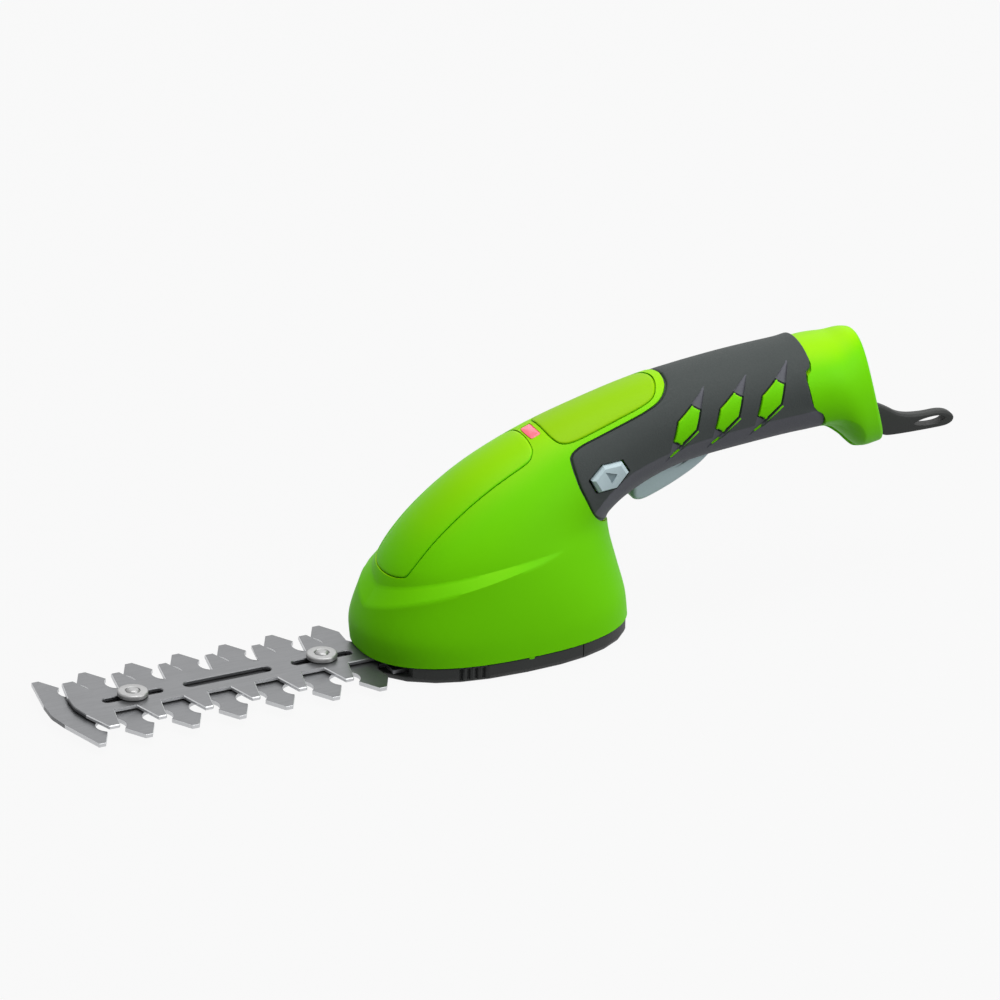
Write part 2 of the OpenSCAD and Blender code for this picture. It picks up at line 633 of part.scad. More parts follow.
// Gears with involute flanks: half thickness of a tooth as an angle at radius r
function involute(a) = tan(a) * 180 / PI - a;
function tooth_half(mod, teeth, r) =
    let (pitch_r = mod * teeth / 2, base_r = pitch_r * cos(pressure_angle))
    90 / teeth - gear_play / 4 / pitch_r * 180 / PI + involute(pressure_angle)
        - involute(acos(clamp(base_r / r, 0, 1)));
module gear_outline(mod, teeth, phase) {
    pitch_r = mod * teeth / 2;
    base_r = pitch_r * cos(pressure_angle);
    root_r = pitch_r - 1.1 * mod;
    tip_r = pitch_r + 0.8 * mod;
    radii = [root_r, max(base_r, root_r) + 0.05, pitch_r, (pitch_r + tip_r) / 2, tip_r];
    function flank(k) = tooth_half(mod, teeth, max(radii[k], base_r));
    polygon([for (i = [0:teeth - 1]) let (mid = phase + i * 360 / teeth)
        each concat([for (k = [0:4]) let (a = mid - flank(k)) radii[k] * [cos(a), sin(a)]],
            [for (k = [4:-1:0]) let (a = mid + flank(k)) radii[k] * [cos(a), sin(a)]])]);
}
module crank_gear() {
    color("ivory") translate([crank_x, 0, 0]) difference() {
        union() {
            translate([0, 0, crank_gear_z]) linear_extrude(gear_w)
                gear_outline(crank_module, crank_teeth, idler_turn);
            translate([0, 0, frame_z]) cylinder(r = hub_r, h = crank_gear_z - frame_z + 0.1);
            translate([0, -crank_r, moving_z + 0.1]) cylinder(d = crank_pin_d, h = frame_z - moving_z);
            translate([0, 0, crank_gear_z + gear_w - 0.1])
                cylinder(d = crank_axle_d + 3, h = plate_z - free_fit - crank_gear_z - gear_w + 0.1);
        }
        translate([0, 0, frame_z + 1]) cylinder(d = crank_axle_d + 2 * run_fit, h = 40);
    }
}
module crank_axle() {
    color("silver") translate([crank_x, 0, frame_z + 1.2])
        cylinder(d = crank_axle_d, h = motor_z - frame_z - 1.2);
}
module idler_gear() {
    color("ivory") translate([idler_x, idler_y, 0]) difference() {
        union() {
            translate([0, 0, crank_gear_z]) linear_extrude(idler_large_z - crank_gear_z + 0.1)
                gear_outline(crank_module, idler_small, idler_turn + 180 + 180 / idler_small);
            translate([0, 0, idler_large_z]) linear_extrude(gear_w)
                gear_outline(motor_module, idler_large, motor_turn);
        }
        cylinder(d = idler_axle_d + 2 * run_fit, h = 40);
    }
}
module idler_axle() {
    color("silver") translate([idler_x, idler_y, frame_z + 0.7])
        cylinder(d = idler_axle_d, h = motor_z - frame_z - 0.7);
}
module gear_plate() {
    color("darkgray") difference() {
        union() {
            translate([0, 0, plate_z]) linear_extrude(plate_t) hull() for (p = post_spots)
                translate(p) circle(d = post_d + 1);
            for (p = post_spots) translate([p[0], p[1], frame_top])
                cylinder(d = post_d, h = plate_z - frame_top + 0.1);
        }
        translate([crank_x, 0, 0]) cylinder(d = crank_axle_d + 0.04, h = 60);
        translate([idler_x, idler_y, 0]) cylinder(d = idler_axle_d + 0.04, h = 60);
        translate([motor_x, 0, 0]) cylinder(r = boss_r + 0.05, h = 60);
        for (p = post_spots) translate([p[0], p[1], 0]) cylinder(d = screw_d + 0.1, h = plate_z - 1);
        motor_holes() cylinder(d = screw_d + 0.2, h = 60);
    }
}

// Motor: a closed can with its shaft downwards, on two screws clear of the idler
can_t = 1;
module motor_holes() {
    for (side = [-90, 90]) translate([motor_x, 0, 0]) rotate(motor_turn + side)
        translate([motor_hole_r, 0, 0]) children();
}
module motor_can() {
    color("silver") difference() {
        translate([motor_x, 0, 0]) rotate_extrude() polygon([[shaft_d / 2 + run_fit, plate_z + 0.4],
            [boss_r, plate_z + 0.4], [boss_r, motor_z], [motor_d / 2, motor_z], [motor_d / 2, motor_top],
            [motor_d / 2 - can_t, motor_top], [motor_d / 2 - can_t, motor_z + 2],
            [shaft_d / 2 + run_fit, motor_z + 2]]);
        motor_holes() translate([0, 0, motor_z - 1]) cylinder(d = screw_d + 0.1, h = 5);
    }
}
module motor_magnets() {
    color("dimgray") translate([motor_x, 0, motor_z + 4]) difference() {
        cylinder(r = motor_d / 2 - can_t - 0.05, h = motor_len - 10);
        translate([0, 0, -1]) cylinder(r = motor_d / 2 - can_t - 3, h = motor_len);
        for (a = [0, 90]) rotate(a) translate([-1.5, 4, -1]) cube([3, 20, motor_len]);
        for (a = [180, 270]) rotate(a) translate([-1.5, 4, -1]) cube([3, 20, motor_len]);
    }
}
module motor_end_bell() {
    color("ivory") translate([motor_x, 0, 0]) rotate_extrude() polygon([
        [shaft_d / 2 + run_fit, motor_top - 2], [motor_d / 2 - can_t - 0.05, motor_top - 2],
        [motor_d / 2 - can_t - 0.05, motor_top], [motor_d / 2, motor_top], [motor_d / 2, motor_top + 1.5],
        [5, motor_top + 1.5], [5, motor_top + 3.5], [shaft_d / 2 + run_fit, motor_top + 3.5]]);
}
module motor_rotor() {
    color("peru") translate([motor_x, 0, motor_z + 4]) difference() {
        union() {
            cylinder(r = motor_d / 2 - can_t - 3.5, h = motor_len - 12);
            cylinder(r = 3, h = motor_len - 7);
        }
        translate([0, 0, -1]) cylinder(d = shaft_d + 0.02, h = 60);
        for (k = [0:2]) rotate(60 + k * 120) translate([motor_d / 2 - can_t - 3.5, 0, -1])
            cylinder(d = 4, h = motor_len - 11.5);
    }
}
module motor_shaft() {
    color("silver") translate([motor_x, 0, idler_large_z - 0.5])
        cylinder(d = shaft_d, h = motor_top + 3.2 - idler_large_z + 0.5);
}
module motor_pinion() {
    color("goldenrod") translate([motor_x, 0, idler_large_z - 0.3]) difference() {
        linear_extrude(gear_w + 0.3)
            gear_outline(motor_module, motor_teeth, motor_turn + 180 + 180 / motor_teeth);
        translate([0, 0, -1]) cylinder(d = shaft_d + 0.02, h = 20);
    }
}
module motor_screws() {
    color("silver") motor_holes() translate([0, 0, plate_z]) {
        translate([0, 0, -1]) cylinder(d = screw_d + 1, h = 1);
        cylinder(d = screw_d, h = plate_t + 1.8);
    }
}
module motor_board() {
    color("darkgreen") translate([motor_x, 0, motor_top + 1.6]) difference() {
        cylinder(d = motor_d - 2, h = 1.6);
        translate([0, 0, -1]) cylinder(r = 5.3, h = 5);
    }
}

// Controls
module trigger() {
    color("lightslategray") difference() {
        union() {
            along_y(-trigger_w / 2, trigger_w / 2) polygon([[trigger_front, hook_z - 0.5],
                [trigger_front + 4, hook_z - 1], [pin_at[0] - 4, grip_low - 5.5],
                [pin_at[0] + 2, pin_at[1] - 2.5], [pin_at[0], pin_at[1] + 2], [pin_at[0] - 8, grip_low - 1],
                [trigger_front + 3, trigger_top], [trigger_front - 0.5, grip_low - 9]]);
            translate([pin_at[0], trigger_w / 2, pin_at[1]]) rotate([90, 0, 0])
                cylinder(d = trigger_pin_d + 3.2, h = trigger_w);
        }
        translate([pin_at[0], trigger_w, pin_at[1]]) rotate([90, 0, 0])
            cylinder(d = trigger_pin_d + 2 * run_fit, h = 3 * trigger_w);
    }
}
module trigger_pin() {
    color("silver") translate([pin_at[0], opening_half - 0.4, pin_at[1]]) rotate([90, 0, 0])
        cylinder(d = trigger_pin_d, h = 2 * opening_half - 0.8);
}
side_y = trigger_w / 2 + free_fit;
module switch_frame() {
    color("dimgray") difference() {
        along_y(-opening_half + free_fit, opening_half - free_fit)
            polygon([[trigger_front + 4, grip_low], [pin_at[0] - 6, pin_at[1] - 2],
                [pin_at[0] + 5, pin_at[1] - 2], [pin_at[0] + 5, switch_top],
                [trigger_front + 4, switch_top]]);
        translate([trigger_front, -side_y, 0])
            cube([pin_at[0] + 3.7 - trigger_front, 2 * side_y, switch_top - frame_side]);
        translate([pin_at[0], 30, pin_at[1]]) rotate([90, 0, 0]) cylinder(d = trigger_pin_d + 0.04, h = 60);
    }
}
module micro_switch() {
    color("black") translate([pin_at[0] - 17, -side_y + 0.1, switch_top - frame_side - 2.8]) difference() {
        cube([12, 2 * side_y - 0.2, 2.7]);
        for (x = [2.5, 9.5]) translate([x, 20, 1.3]) rotate([90, 0, 0]) cylinder(d = 1.2, h = 40);
    }
}
// A wound spring: one unbroken wire along Z
module coil(r, wire, turns, height) {
    rise = height - 2 * wire;
    steps = ceil(turns * 10);
    loft([for (i = [0:steps]) let (a = i / steps * turns * 360, f = i / steps)
        [for (k = [0:5]) let (b = k * 60)
            let (out = r + wire / 2 * cos(b))
            [out * cos(a), out * sin(a), wire + rise * f + wire / 2 * sin(b)]]]);
}
module trigger_spring() {
    color("silver") translate([trigger_front + 7.5, 0, trigger_top + 0.5]) moulded()
        coil(2.4, 0.5, 4, switch_top - frame_side - trigger_top - 0.6);
}
module lock_button() {
    color("lightsteelblue") translate([lock_at[0], 0, lock_at[1]]) {
        along_y(-lock_face + 0.8, -lock_under) polygon(lock_shape);
        along_y(-lock_face, -lock_face + 0.9) polygon(lock_shape * 0.9);
        rotate([90, 0, 0]) translate([0, 0, guide_y - guide_len - 1.6])
            cylinder(d = lock_stem_d, h = lock_under - guide_y + guide_len + 1.7);
    }
}
module lock_guide() {
    color("dimgray") translate([lock_at[0], -guide_y, lock_at[1]]) rotate([-90, 0, 0]) difference() {
        union() {
            cylinder(d = lock_stem_d + 7, h = guide_t);
            cylinder(d = lock_stem_d + 3.4, h = guide_len);
        }
        translate([0, 0, -1]) cylinder(d = lock_stem_d + 2 * run_fit, h = 30);
    }
}
module lock_spring() {
    color("silver") translate([lock_at[0], -lock_under + 0.05, lock_at[1]]) rotate([-90, 0, 0]) moulded()
        coil(lock_stem_d / 2 + 0.8, 0.5, 2.5, lock_under - guide_y - 0.1);
}
module lock_clip() {
    color("silver") translate([lock_at[0], -guide_y + guide_len + 0.2, lock_at[1]]) rotate([-90, 0, 0])
        difference() {
            cylinder(d = lock_stem_d + 3, h = 0.8);
            translate([0, 0, -1]) cylinder(d = lock_stem_d + 0.02, h = 3);
        }
}

// Cell in the handle, in a cradle that follows the handle's own line
cell_from = middle(8.2);
cell_to = middle(10.7);
cell_tilt = atan2(cell_to[2] - cell_from[2], cell_to[0] - cell_from[0]);
cell_lift = 1.2;
module cell_place() {
    translate([grip_end - 44, 0, cell_from[2] + cell_lift]) rotate([0, 90 - cell_tilt, 0]) children();
}
module battery_cell() {
    color("mediumseagreen") cell_place() {
        cylinder(d = cell_d, h = cell_len - 1);
        translate([0, 0, cell_len - 1.1]) cylinder(d = cell_d / 2.4, h = 1.1);
    }
}
cradle_r = grip_w / 2 - core_drop - wall - free_fit;
module cell_cradle() {
    color("dimgray") cell_place() difference() {
        for (z = [18, cell_len - 20]) translate([cell_lift, 0, z]) cylinder(r = cradle_r, h = 8);
        translate([0, 0, -1]) cylinder(d = cell_d + 0.2, h = 100);
        translate([-30, -30, -1]) cube([28, 60, 100]);
    }
}
module cell_contacts() {
    color("goldenrod") cell_place() {
        translate([-4, -3, -0.5]) cube([8, 6, 0.4]);
        translate([-4, -3, cell_len + 0.1]) cube([8, 6, 0.4]);
    }
}

// Charging socket in the middle of the end face
jack_at = [handle_end - 4, grip_top - 22];
jack_len = jack_depth + 1;
jack_wall = 2;
module jack_place() {
    translate([jack_at[0], 0, jack_at[1]]) rotate([0, 90, 0]) children();
}
module charge_socket() {
    color("black") jack_place() difference() {
        translate([0, 0, -jack_len]) cylinder(r = jack_d / 2 + jack_wall, h = jack_len);
        translate([0, 0, -jack_depth]) cylinder(d = jack_d, h = jack_len);
    }
}
module charge_board() {
    color("darkgreen") translate([jack_at[0] - jack_len - board_t - 0.05, -8, jack_at[1] - 8])
        cube([board_t, 16, 16]);
}
module housing_screws() {
    color("silver") for (p = screw_spots) translate([p[0], 0, p[1]]) rotate([-90, 0, 0]) {
        translate([0, 0, -screw_bite]) cylinder(d = screw_d, h = screw_bite + screw_seat + 1);
        translate([0, 0, screw_seat + 0.05]) difference() {
            cylinder(d = screw_head_d, h = screw_head_t);
            for (a = [0, 90]) rotate(a) translate([-0.4, -1.6, screw_head_t - 0.8]) cube([0.8, 3.2, 2]);
        }
    }
}

housing_left();
housing_right();
nose_panel();
top_panel();
status_lens();
lens_board();
grip_sleeve();
end_cap();
hanging_loop();
base_frame();
blade_cover();
housing_screws();
base_screws();
fixed_blade();
moving_blade();
blade_bolts();
blade_washers();
gear_plate();
crank_gear();
crank_axle();
idler_gear();
idler_axle();
motor_can();
motor_end_bell();
motor_magnets();
motor_rotor();
motor_shaft();
motor_pinion();
motor_screws();
motor_board();
trigger();
trigger_pin();
trigger_spring();
switch_frame();
micro_switch();
lock_button();
lock_guide();
lock_spring();
lock_clip();
battery_cell();
cell_cradle();
cell_contacts();
charge_socket();
charge_board();
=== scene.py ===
import json
import math

import bmesh
import bpy
import numpy as np
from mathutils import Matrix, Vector


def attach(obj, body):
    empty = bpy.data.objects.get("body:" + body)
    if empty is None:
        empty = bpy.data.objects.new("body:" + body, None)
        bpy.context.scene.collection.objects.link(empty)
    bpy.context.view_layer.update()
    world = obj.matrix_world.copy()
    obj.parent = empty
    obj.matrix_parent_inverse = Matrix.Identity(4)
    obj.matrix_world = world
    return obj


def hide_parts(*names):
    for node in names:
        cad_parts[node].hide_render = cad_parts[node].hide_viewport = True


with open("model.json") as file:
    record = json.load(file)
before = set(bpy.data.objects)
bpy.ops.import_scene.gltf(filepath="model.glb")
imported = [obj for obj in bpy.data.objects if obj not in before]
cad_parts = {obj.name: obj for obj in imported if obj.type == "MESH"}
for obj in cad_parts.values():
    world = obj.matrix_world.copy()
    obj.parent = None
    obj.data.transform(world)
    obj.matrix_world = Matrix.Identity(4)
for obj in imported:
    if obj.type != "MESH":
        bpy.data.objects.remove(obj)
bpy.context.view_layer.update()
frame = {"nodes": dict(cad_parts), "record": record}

scene = bpy.context.scene
scene.view_settings.view_transform = "Standard"
mm = 0.001
mergeGap = 2e-6  # points closer than this become one, in metres
over = 3  # how far a cutter stands out of the skin, in mm

# view of the photo: angles in degrees, scale in pixels per mm, distance in mm
view = {"azimuth": -25.2, "elevation": 25.1, "pixels": 1000, "scale": 2.75, "distance": 1500,
        "originAt": (486, 640), "clipEnd": 100}


def makeCamera():
    a = math.radians(view["azimuth"])
    e = math.radians(view["elevation"])
    back = Vector((math.sin(a) * math.cos(e), -math.cos(a) * math.cos(e), math.sin(e)))
    right = Vector((math.cos(a), math.sin(a), 0))
    up = back.cross(right)
    middle = view["pixels"] / 2
    aim = right * ((middle - view["originAt"][0]) / view["scale"])
    aim += up * ((view["originAt"][1] - middle) / view["scale"])
    data = bpy.data.cameras.new("photoCamera")
    data.type = "ORTHO"
    data.ortho_scale = view["pixels"] / view["scale"] * mm
    data.clip_end = view["clipEnd"]
    camera = bpy.data.objects.new("photoCamera", data)
    camera.location = (aim + back * view["distance"]) * mm
    camera.rotation_euler = back.to_track_quat("Z", "Y").to_euler()
    scene.collection.objects.link(camera)
    scene.camera = camera


makeCamera()
print("camera set")


# one node with its settings, its values and its links
def addNode(tree, kind, values=None, **settings):
    made = tree.nodes.new(kind)
    for key, value in settings.items():
        setattr(made, key, value)
    for key, value in (values or {}).items():
        if isinstance(value, bpy.types.NodeSocket):
            tree.links.new(value, made.inputs[key])
        else:
            made.inputs[key].default_value = value
    return made


def linear(hexColour):
    parts = [int(hexColour[i:i + 2], 16) / 255 for i in (1, 3, 5)]
    return tuple(c / 12.92 if c <= 0.04045 else ((c + 0.055) / 1.055) ** 2.4 for c in parts) + (1,)


# A surface with two close shades, a grain and an uneven gloss; sizes in mm.
# stretch draws the grain out along X, Y and Z, as grinding does.
# rise is painted light: a paler shade on what faces up, between two heights of the normal, standing in for
# light from above.
# A second shade goes where the mesh's own attribute of that name is 1: a darker fill in the button's sunk
# triangle, and painted light on the grip's underside and window facets and on the blade's tooth walls.
def finish(name, look):
    material = bpy.data.materials.new(name)
    material.use_nodes = True
    tree = material.node_tree
    shader = tree.nodes["Principled BSDF"]
    place = addNode(tree, "ShaderNodeTexCoord").outputs["Object"]
    spread = addNode(tree, "ShaderNodeMapping", {"Vector": place, "Scale": look.get("stretch", (1, 1, 1))})
    grain = addNode(tree, "ShaderNodeTexNoise",
                    {"Vector": spread.outputs[0], "Scale": 1 / (look["grain"] * mm), "Detail": 3.0})
    patch = addNode(tree, "ShaderNodeTexNoise",
                    {"Vector": place, "Scale": 1 / (look["patch"] * mm), "Detail": 2.0})
    gloss = addNode(tree, "ShaderNodeMapRange",
                    {"Value": grain.outputs["Fac"], "From Min": 0.3, "From Max": 0.7,
                     "To Min": look["rough"][0], "To Max": look["rough"][1]})
    bump = addNode(tree, "ShaderNodeBump",
                   {"Height": grain.outputs["Fac"], "Strength": look["bump"], "Distance": look["grain"] * mm})
    layers = [(patch.outputs["Fac"], look["colours"][1])]
    if "rise" in look:
        # painted light: what faces up is painted paler, as if lit from above
        shade, low, high = look["rise"]
        facing = addNode(tree, "ShaderNodeTexCoord").outputs["Normal"]
        height = addNode(tree, "ShaderNodeSeparateXYZ", {"Vector": facing}).outputs["Z"]
        paintedTopLight = addNode(tree, "ShaderNodeMapRange", {"Value": height, "From Min": low, "From Max": high},
                         interpolation_type="SMOOTHSTEP")
        layers.append((paintedTopLight.outputs[0], shade))
    if "inlayAndPaintedLight" in look:
        # second shade: the button's darker triangle fill, and painted light on the grip and the blades
        inlayAndPaintedLightShare = addNode(tree, "ShaderNodeAttribute", attribute_name="inlayAndPaintedLight")
        layers.append((inlayAndPaintedLightShare.outputs["Fac"], look["inlayAndPaintedLight"]))
    colour = linear(look["colours"][0])
    for share, shade in layers:
        mix = addNode(tree, "ShaderNodeMix", {"Factor": share, 6: colour, 7: linear(shade)}, data_type="RGBA")
        colour = mix.outputs[2]
    tree.links.new(colour, shader.inputs["Base Color"])
    tree.links.new(gloss.outputs[0], shader.inputs["Roughness"])
    tree.links.new(bump.outputs[0], shader.inputs["Normal"])
    shader.inputs["Metallic"].default_value = look.get("metallic", 0)
    shader.inputs["IOR"].default_value = look.get("ior", 1.5)
    shader.inputs["Specular IOR Level"].default_value = look.get("specular", 0.5)
    for key, value in look.get("more", {}).items():
        shader.inputs[key].default_value = value
    return material


# moulded grain is finer than this on the real tool; it is drawn coarse enough to show. rise is painted light:
# what faces up is painted a paler, yellower green, standing in for light from above
greenAbs = {"colours": ("#71d700", "#75db00"), "grain": 0.7, "patch": 30, "ior": 1.54, "specular": 0.08,
            "rise": ("#98dc00", 0.55, 1.0)}
finishes = {
    # spark-eroded ABS: a soft broken gloss over a saturated green
    "green_shell": ("mouldedGreenAbs", {**greenAbs, "rough": (0.44, 0.54), "bump": 0.06}),
    # polished ABS inlay: the same green with a closer gloss
    "green_panel": ("glossGreenAbs", {**greenAbs, "rough": (0.40, 0.48), "bump": 0.05}),
    # yellower inlay on the top of the handle
    "lime_panel": ("limeAbs", {
        "colours": ("#90c800", "#94cc00"), "grain": 0.7, "patch": 30, "rough": (0.42, 0.50), "bump": 0.05,
        "ior": 1.54, "specular": 0.08}),
    # soft-touch TPE: matt, fine grain, nearly no highlight; its paler second shade is painted light on the
    # underside below the crease and on the carved window facets
    "grip_rubber": ("softTouchRubber", {
        "colours": ("#3b403f", "#3f4443"), "grain": 0.6, "patch": 18, "rough": (0.60, 0.75), "bump": 0.14,
        "ior": 1.5, "specular": 0.25, "inlayAndPaintedLight": "#5c5d64"}),
    # dark moulded nylon: a dull sheen on near black
    "black_plastic": ("darkNylon", {
        "colours": ("#242625", "#282a29"), "grain": 0.6, "patch": 20, "rough": (0.48, 0.60), "bump": 0.10,
        "ior": 1.53, "specular": 0.3}),
    # pale blue-grey acetal of the button and the trigger: a smooth waxy sheen
    "grey_plastic": ("blueGreyAcetal", {
        "colours": ("#b6c9ce", "#bacdd2"), "grain": 0.6, "patch": 15, "rough": (0.38, 0.48), "bump": 0.06,
        "ior": 1.48, "specular": 0.35, "inlayAndPaintedLight": "#7f9096"}),
    # ground spring steel: fine lines along the blade break the reflection; its paler second shade is a
    # painted highlight on the outer tooth walls
    "blade_steel": ("groundBladeSteel", {
        "colours": ("#67686a", "#6b6c6e"), "grain": 0.8, "patch": 25, "rough": (0.30, 0.40), "bump": 0.03,
        "metallic": 0.75, "stretch": (0.08, 1, 1), "inlayAndPaintedLight": "#d0d1d3"}),
    # turned bright steel: a clean metal gleam
    "bright_steel": ("turnedSteel", {
        "colours": ("#989898", "#9e9e9e"), "grain": 0.5, "patch": 8, "rough": (0.34, 0.44), "bump": 0.03,
        "metallic": 0.7}),
    # undyed acetal gears: creamy white, slightly waxy
    "gear_plastic": ("naturalAcetal", {
        "colours": ("#e4e0d2", "#eae6da"), "grain": 0.5, "patch": 9, "rough": (0.35, 0.45), "bump": 0.06,
        "ior": 1.48}),
    # die-cast zinc: grey metal with a cast skin
    "plate_alloy": ("dieCastZinc", {
        "colours": ("#9a9c9e", "#a6a8aa"), "grain": 0.5, "patch": 9, "rough": (0.38, 0.50), "bump": 0.12,
        "metallic": 1}),
    # turned brass: warm yellow metal
    "brass": ("turnedBrass", {
        "colours": ("#c79a4b", "#cfa356"), "grain": 0.4, "patch": 6, "rough": (0.24, 0.34), "bump": 0.06,
        "metallic": 1}),
    # enamelled copper wire: brown, glossy and uneven
    "winding": ("enamelledCopper", {
        "colours": ("#9c5427", "#aa602e"), "grain": 0.4, "patch": 5, "rough": (0.28, 0.40), "bump": 0.20,
        "metallic": 0.9}),
    # sintered ferrite: dark, matt and stony
    "magnet": ("ferrite", {
        "colours": ("#3a3a3c", "#424244"), "grain": 0.4, "patch": 6, "rough": (0.55, 0.70), "bump": 0.15}),
    # solder mask on fibreglass: an even green gloss
    "circuit_board": ("solderMask", {
        "colours": ("#1d5b33", "#23663a"), "grain": 0.4, "patch": 6, "rough": (0.30, 0.42), "bump": 0.06}),
    # shrink wrap round the cell: a smooth blue gloss
    "cell_wrap": ("shrinkWrap", {
        "colours": ("#2d5fa8", "#3167b2"), "grain": 0.6, "patch": 12, "rough": (0.25, 0.36), "bump": 0.05}),
    # clear red acrylic over a lamp: light from inside, a gloss on top
    "red_lens": ("redAcrylic", {
        "colours": ("#ff5f72", "#ff6f80"), "grain": 0.6, "patch": 4, "rough": (0.16, 0.24), "bump": 0.03,
        "ior": 1.49, "more": {"Emission Color": linear("#ff7585"), "Emission Strength": 0.25}}),
}
materials = {slot: finish(*spec) for slot, spec in finishes.items()}
print("materials made:", len(materials))

# the CAD nodes that stay in view, and the inner ones, wear the finish of their slot
nodeSlots = {part["node"]: part["material_slot"] for part in frame["record"]["subparts"]}
for name, node in frame["nodes"].items():
    for holder in node.material_slots:
        holder.material = materials[nodeSlots[name]]


# ring by ring mesh in mm: each row is a closed loop of points
# ends: "loop" joins the last row to the first, "fan" closes each end on a pole,
# "strip" closes each end across the loop, point j to its mirror
def ringMesh(name, rows, ends):
    m, n = len(rows), len(rows[0])
    points = np.concatenate([np.asarray(r, float) for r in rows]) * mm
    faces = []
    for i in range(m if ends == "loop" else m - 1):
        k = (i + 1) % m
        for j in range(n):
            q = (j + 1) % n
            faces.append((i * n + j, i * n + q, k * n + q, k * n + j))
    points = list(map(tuple, points))
    if ends == "fan":
        for base in (0, (m - 1) * n):
            loop = np.array(points[base:base + n])
            points.append(tuple(loop.mean(0)))
            faces += [(base + j, base + (j + 1) % n, len(points) - 1) for j in range(n)]
    if ends == "strip":
        for base in (0, (m - 1) * n):
            for j in range(n // 2 - 1):
                faces.append((base + j, base + j + 1, base + n - 2 - j, base + n - 1 - j))
    mesh = bpy.data.meshes.new(name)
    mesh.from_pydata(points, [], faces)
    return cleanMesh(mesh)


def cleanMesh(mesh):
    work = bmesh.new()
    work.from_mesh(mesh)
    bmesh.ops.remove_doubles(work, verts=work.verts, dist=mergeGap)
    bmesh.ops.dissolve_degenerate(work, edges=work.edges, dist=1e-7)
    bmesh.ops.recalc_face_normals(work, faces=work.faces)
    work.to_mesh(mesh)
    work.free()
    return mesh


def joined(name, meshes):
    work = bmesh.new()
    for mesh in meshes:
        work.from_mesh(mesh)
    whole = bpy.data.meshes.new(name)
    work.to_mesh(whole)
    work.free()
    return whole


def asObject(name, mesh):
    made = bpy.data.objects.new(name, mesh)
    scene.collection.objects.link(made)
    return made


# the evaluated mesh takes the place of the modifiers
def settle(piece):
    graph = bpy.context.evaluated_depsgraph_get()
    graph.update()
    mesh = bpy.data.meshes.new_from_object(piece.evaluated_get(graph))
    piece.modifiers.clear()
    piece.data = mesh
    return piece


# cuts meshes out of a piece, or adds them to it; the exact solver steps in where nothing is left
def carve(piece, meshes, operation="DIFFERENCE"):
    for mesh in meshes:
        tool = asObject("tool", mesh)
        kept = piece.data
        for solver in ("MANIFOLD", "EXACT"):
            piece.data = kept
            cut = piece.modifiers.new("cut", "BOOLEAN")
            cut.operation = operation
            cut.object = tool
            cut.solver = solver
            settle(piece)
            if len(piece.data.vertices) > 0:
                break
        bpy.data.objects.remove(tool)
    return piece


def finishPiece(piece, body, slot, nodes=(), angle=30):
    mesh = piece.data
    mesh.materials.clear()
    mesh.materials.append(materials[slot])
    mesh.shade_smooth()
    mesh.set_sharp_from_angle(angle=math.radians(angle))
    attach(piece, body)
    if nodes:
        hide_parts(*nodes)
    print("piece", piece.name, len(mesh.polygons), "faces")
    return piece


def cadCopy(name, node, flat=0.5):
    mesh = frame["nodes"][node].data.copy()
    work = bmesh.new()
    work.from_mesh(mesh)
    bmesh.ops.remove_doubles(work, verts=work.verts, dist=mergeGap)
    bmesh.ops.dissolve_limit(work, angle_limit=math.radians(flat), verts=work.verts, edges=work.edges)
    work.to_mesh(mesh)
    work.free()
    return asObject(name, mesh)


# driving sizes of the body in mm, as the part has them
body = {"noseReach": 51, "heelReach": 53, "width": 66, "ridge": 79.5, "foot": 6.5, "neck": 42,
        "throatX": 50.5, "gripRise": 17.5, "gripHeight": 35.5, "gripWidth": 35, "gripEnd": 120,
        "throatDrop": 12, "hookDrop": 13, "handleTail": 36, "endRound": 2.5, "endShare": 0.96,
        "roundFrom": 12.7, "wall": 2.2, "sleeve": 2.2}


# sections of the body: outer and inner point in the middle plane, half width, roundness
def sectionTable(b):
    gripTop = b["ridge"] + b["gripRise"]
    gripLow = gripTop - b["gripHeight"]
    throat = gripLow - b["throatDrop"]
    hook = gripLow - b["hookDrop"]
    end = b["gripEnd"]
    side, neck, grip = b["width"] / 2, b["neck"] / 2, b["gripWidth"] / 2
    front = lambda share: b["foot"] + share * (b["ridge"] - b["foot"])
    back = lambda share: b["foot"] + share * (throat - b["foot"])
    nose, heel, tail = -b["noseReach"], b["heelReach"], end + b["handleTail"]
    return np.array([
        [nose, b["foot"], heel, b["foot"], side, 2.4],
        [nose, front(0.13), heel - 1, back(0.22), side, 2.4],
        [nose + 4.7, front(0.295), heel - 4, back(0.5), side - 1, 2.3],
        [nose + 11.5, front(0.473), b["throatX"] - 4, back(0.756), side - 3, 2.2],
        [nose + 24, front(0.664), b["throatX"] - 4, back(0.919), side - 6, 2.1],
        [-9, front(0.849), b["throatX"], throat, neck + 3, 2.05],
        [14, b["ridge"], b["throatX"] + 7.5, throat + 3.5, neck, 2.05],
        [40, (b["ridge"] + gripTop) / 2 - 0.75, b["throatX"] + 17.5, gripLow - 5, grip + 1.5, 2.05],
        [66, gripTop - 4, 80, gripLow - 2.5, grip + 0.5, 2.1],
        [95, gripTop - 1, 100, gripLow - 1, grip, 2.1],
        [end, gripTop, end + 2, gripLow, grip, 2.1],
        [end + 13, gripTop + 0.5, end + 16, gripLow - 1, grip + 0.5, 2.1],
        [end + 22, gripTop, end + 27, hook + 2.3, grip - 0.5, 2.1],
        [tail - 6, gripTop - 1.5, tail, hook + 1.8, grip - 3, 2.1]])


sections = sectionTable(body)
last = len(sections) - 1


def smooth(v):
    c = np.clip(v, 0, 1)
    return c * c * (3 - 2 * c)


# from 0 to 1, run is where it starts and how long it takes
def ramp(v, run):
    return smooth((v - run[0]) / run[1])


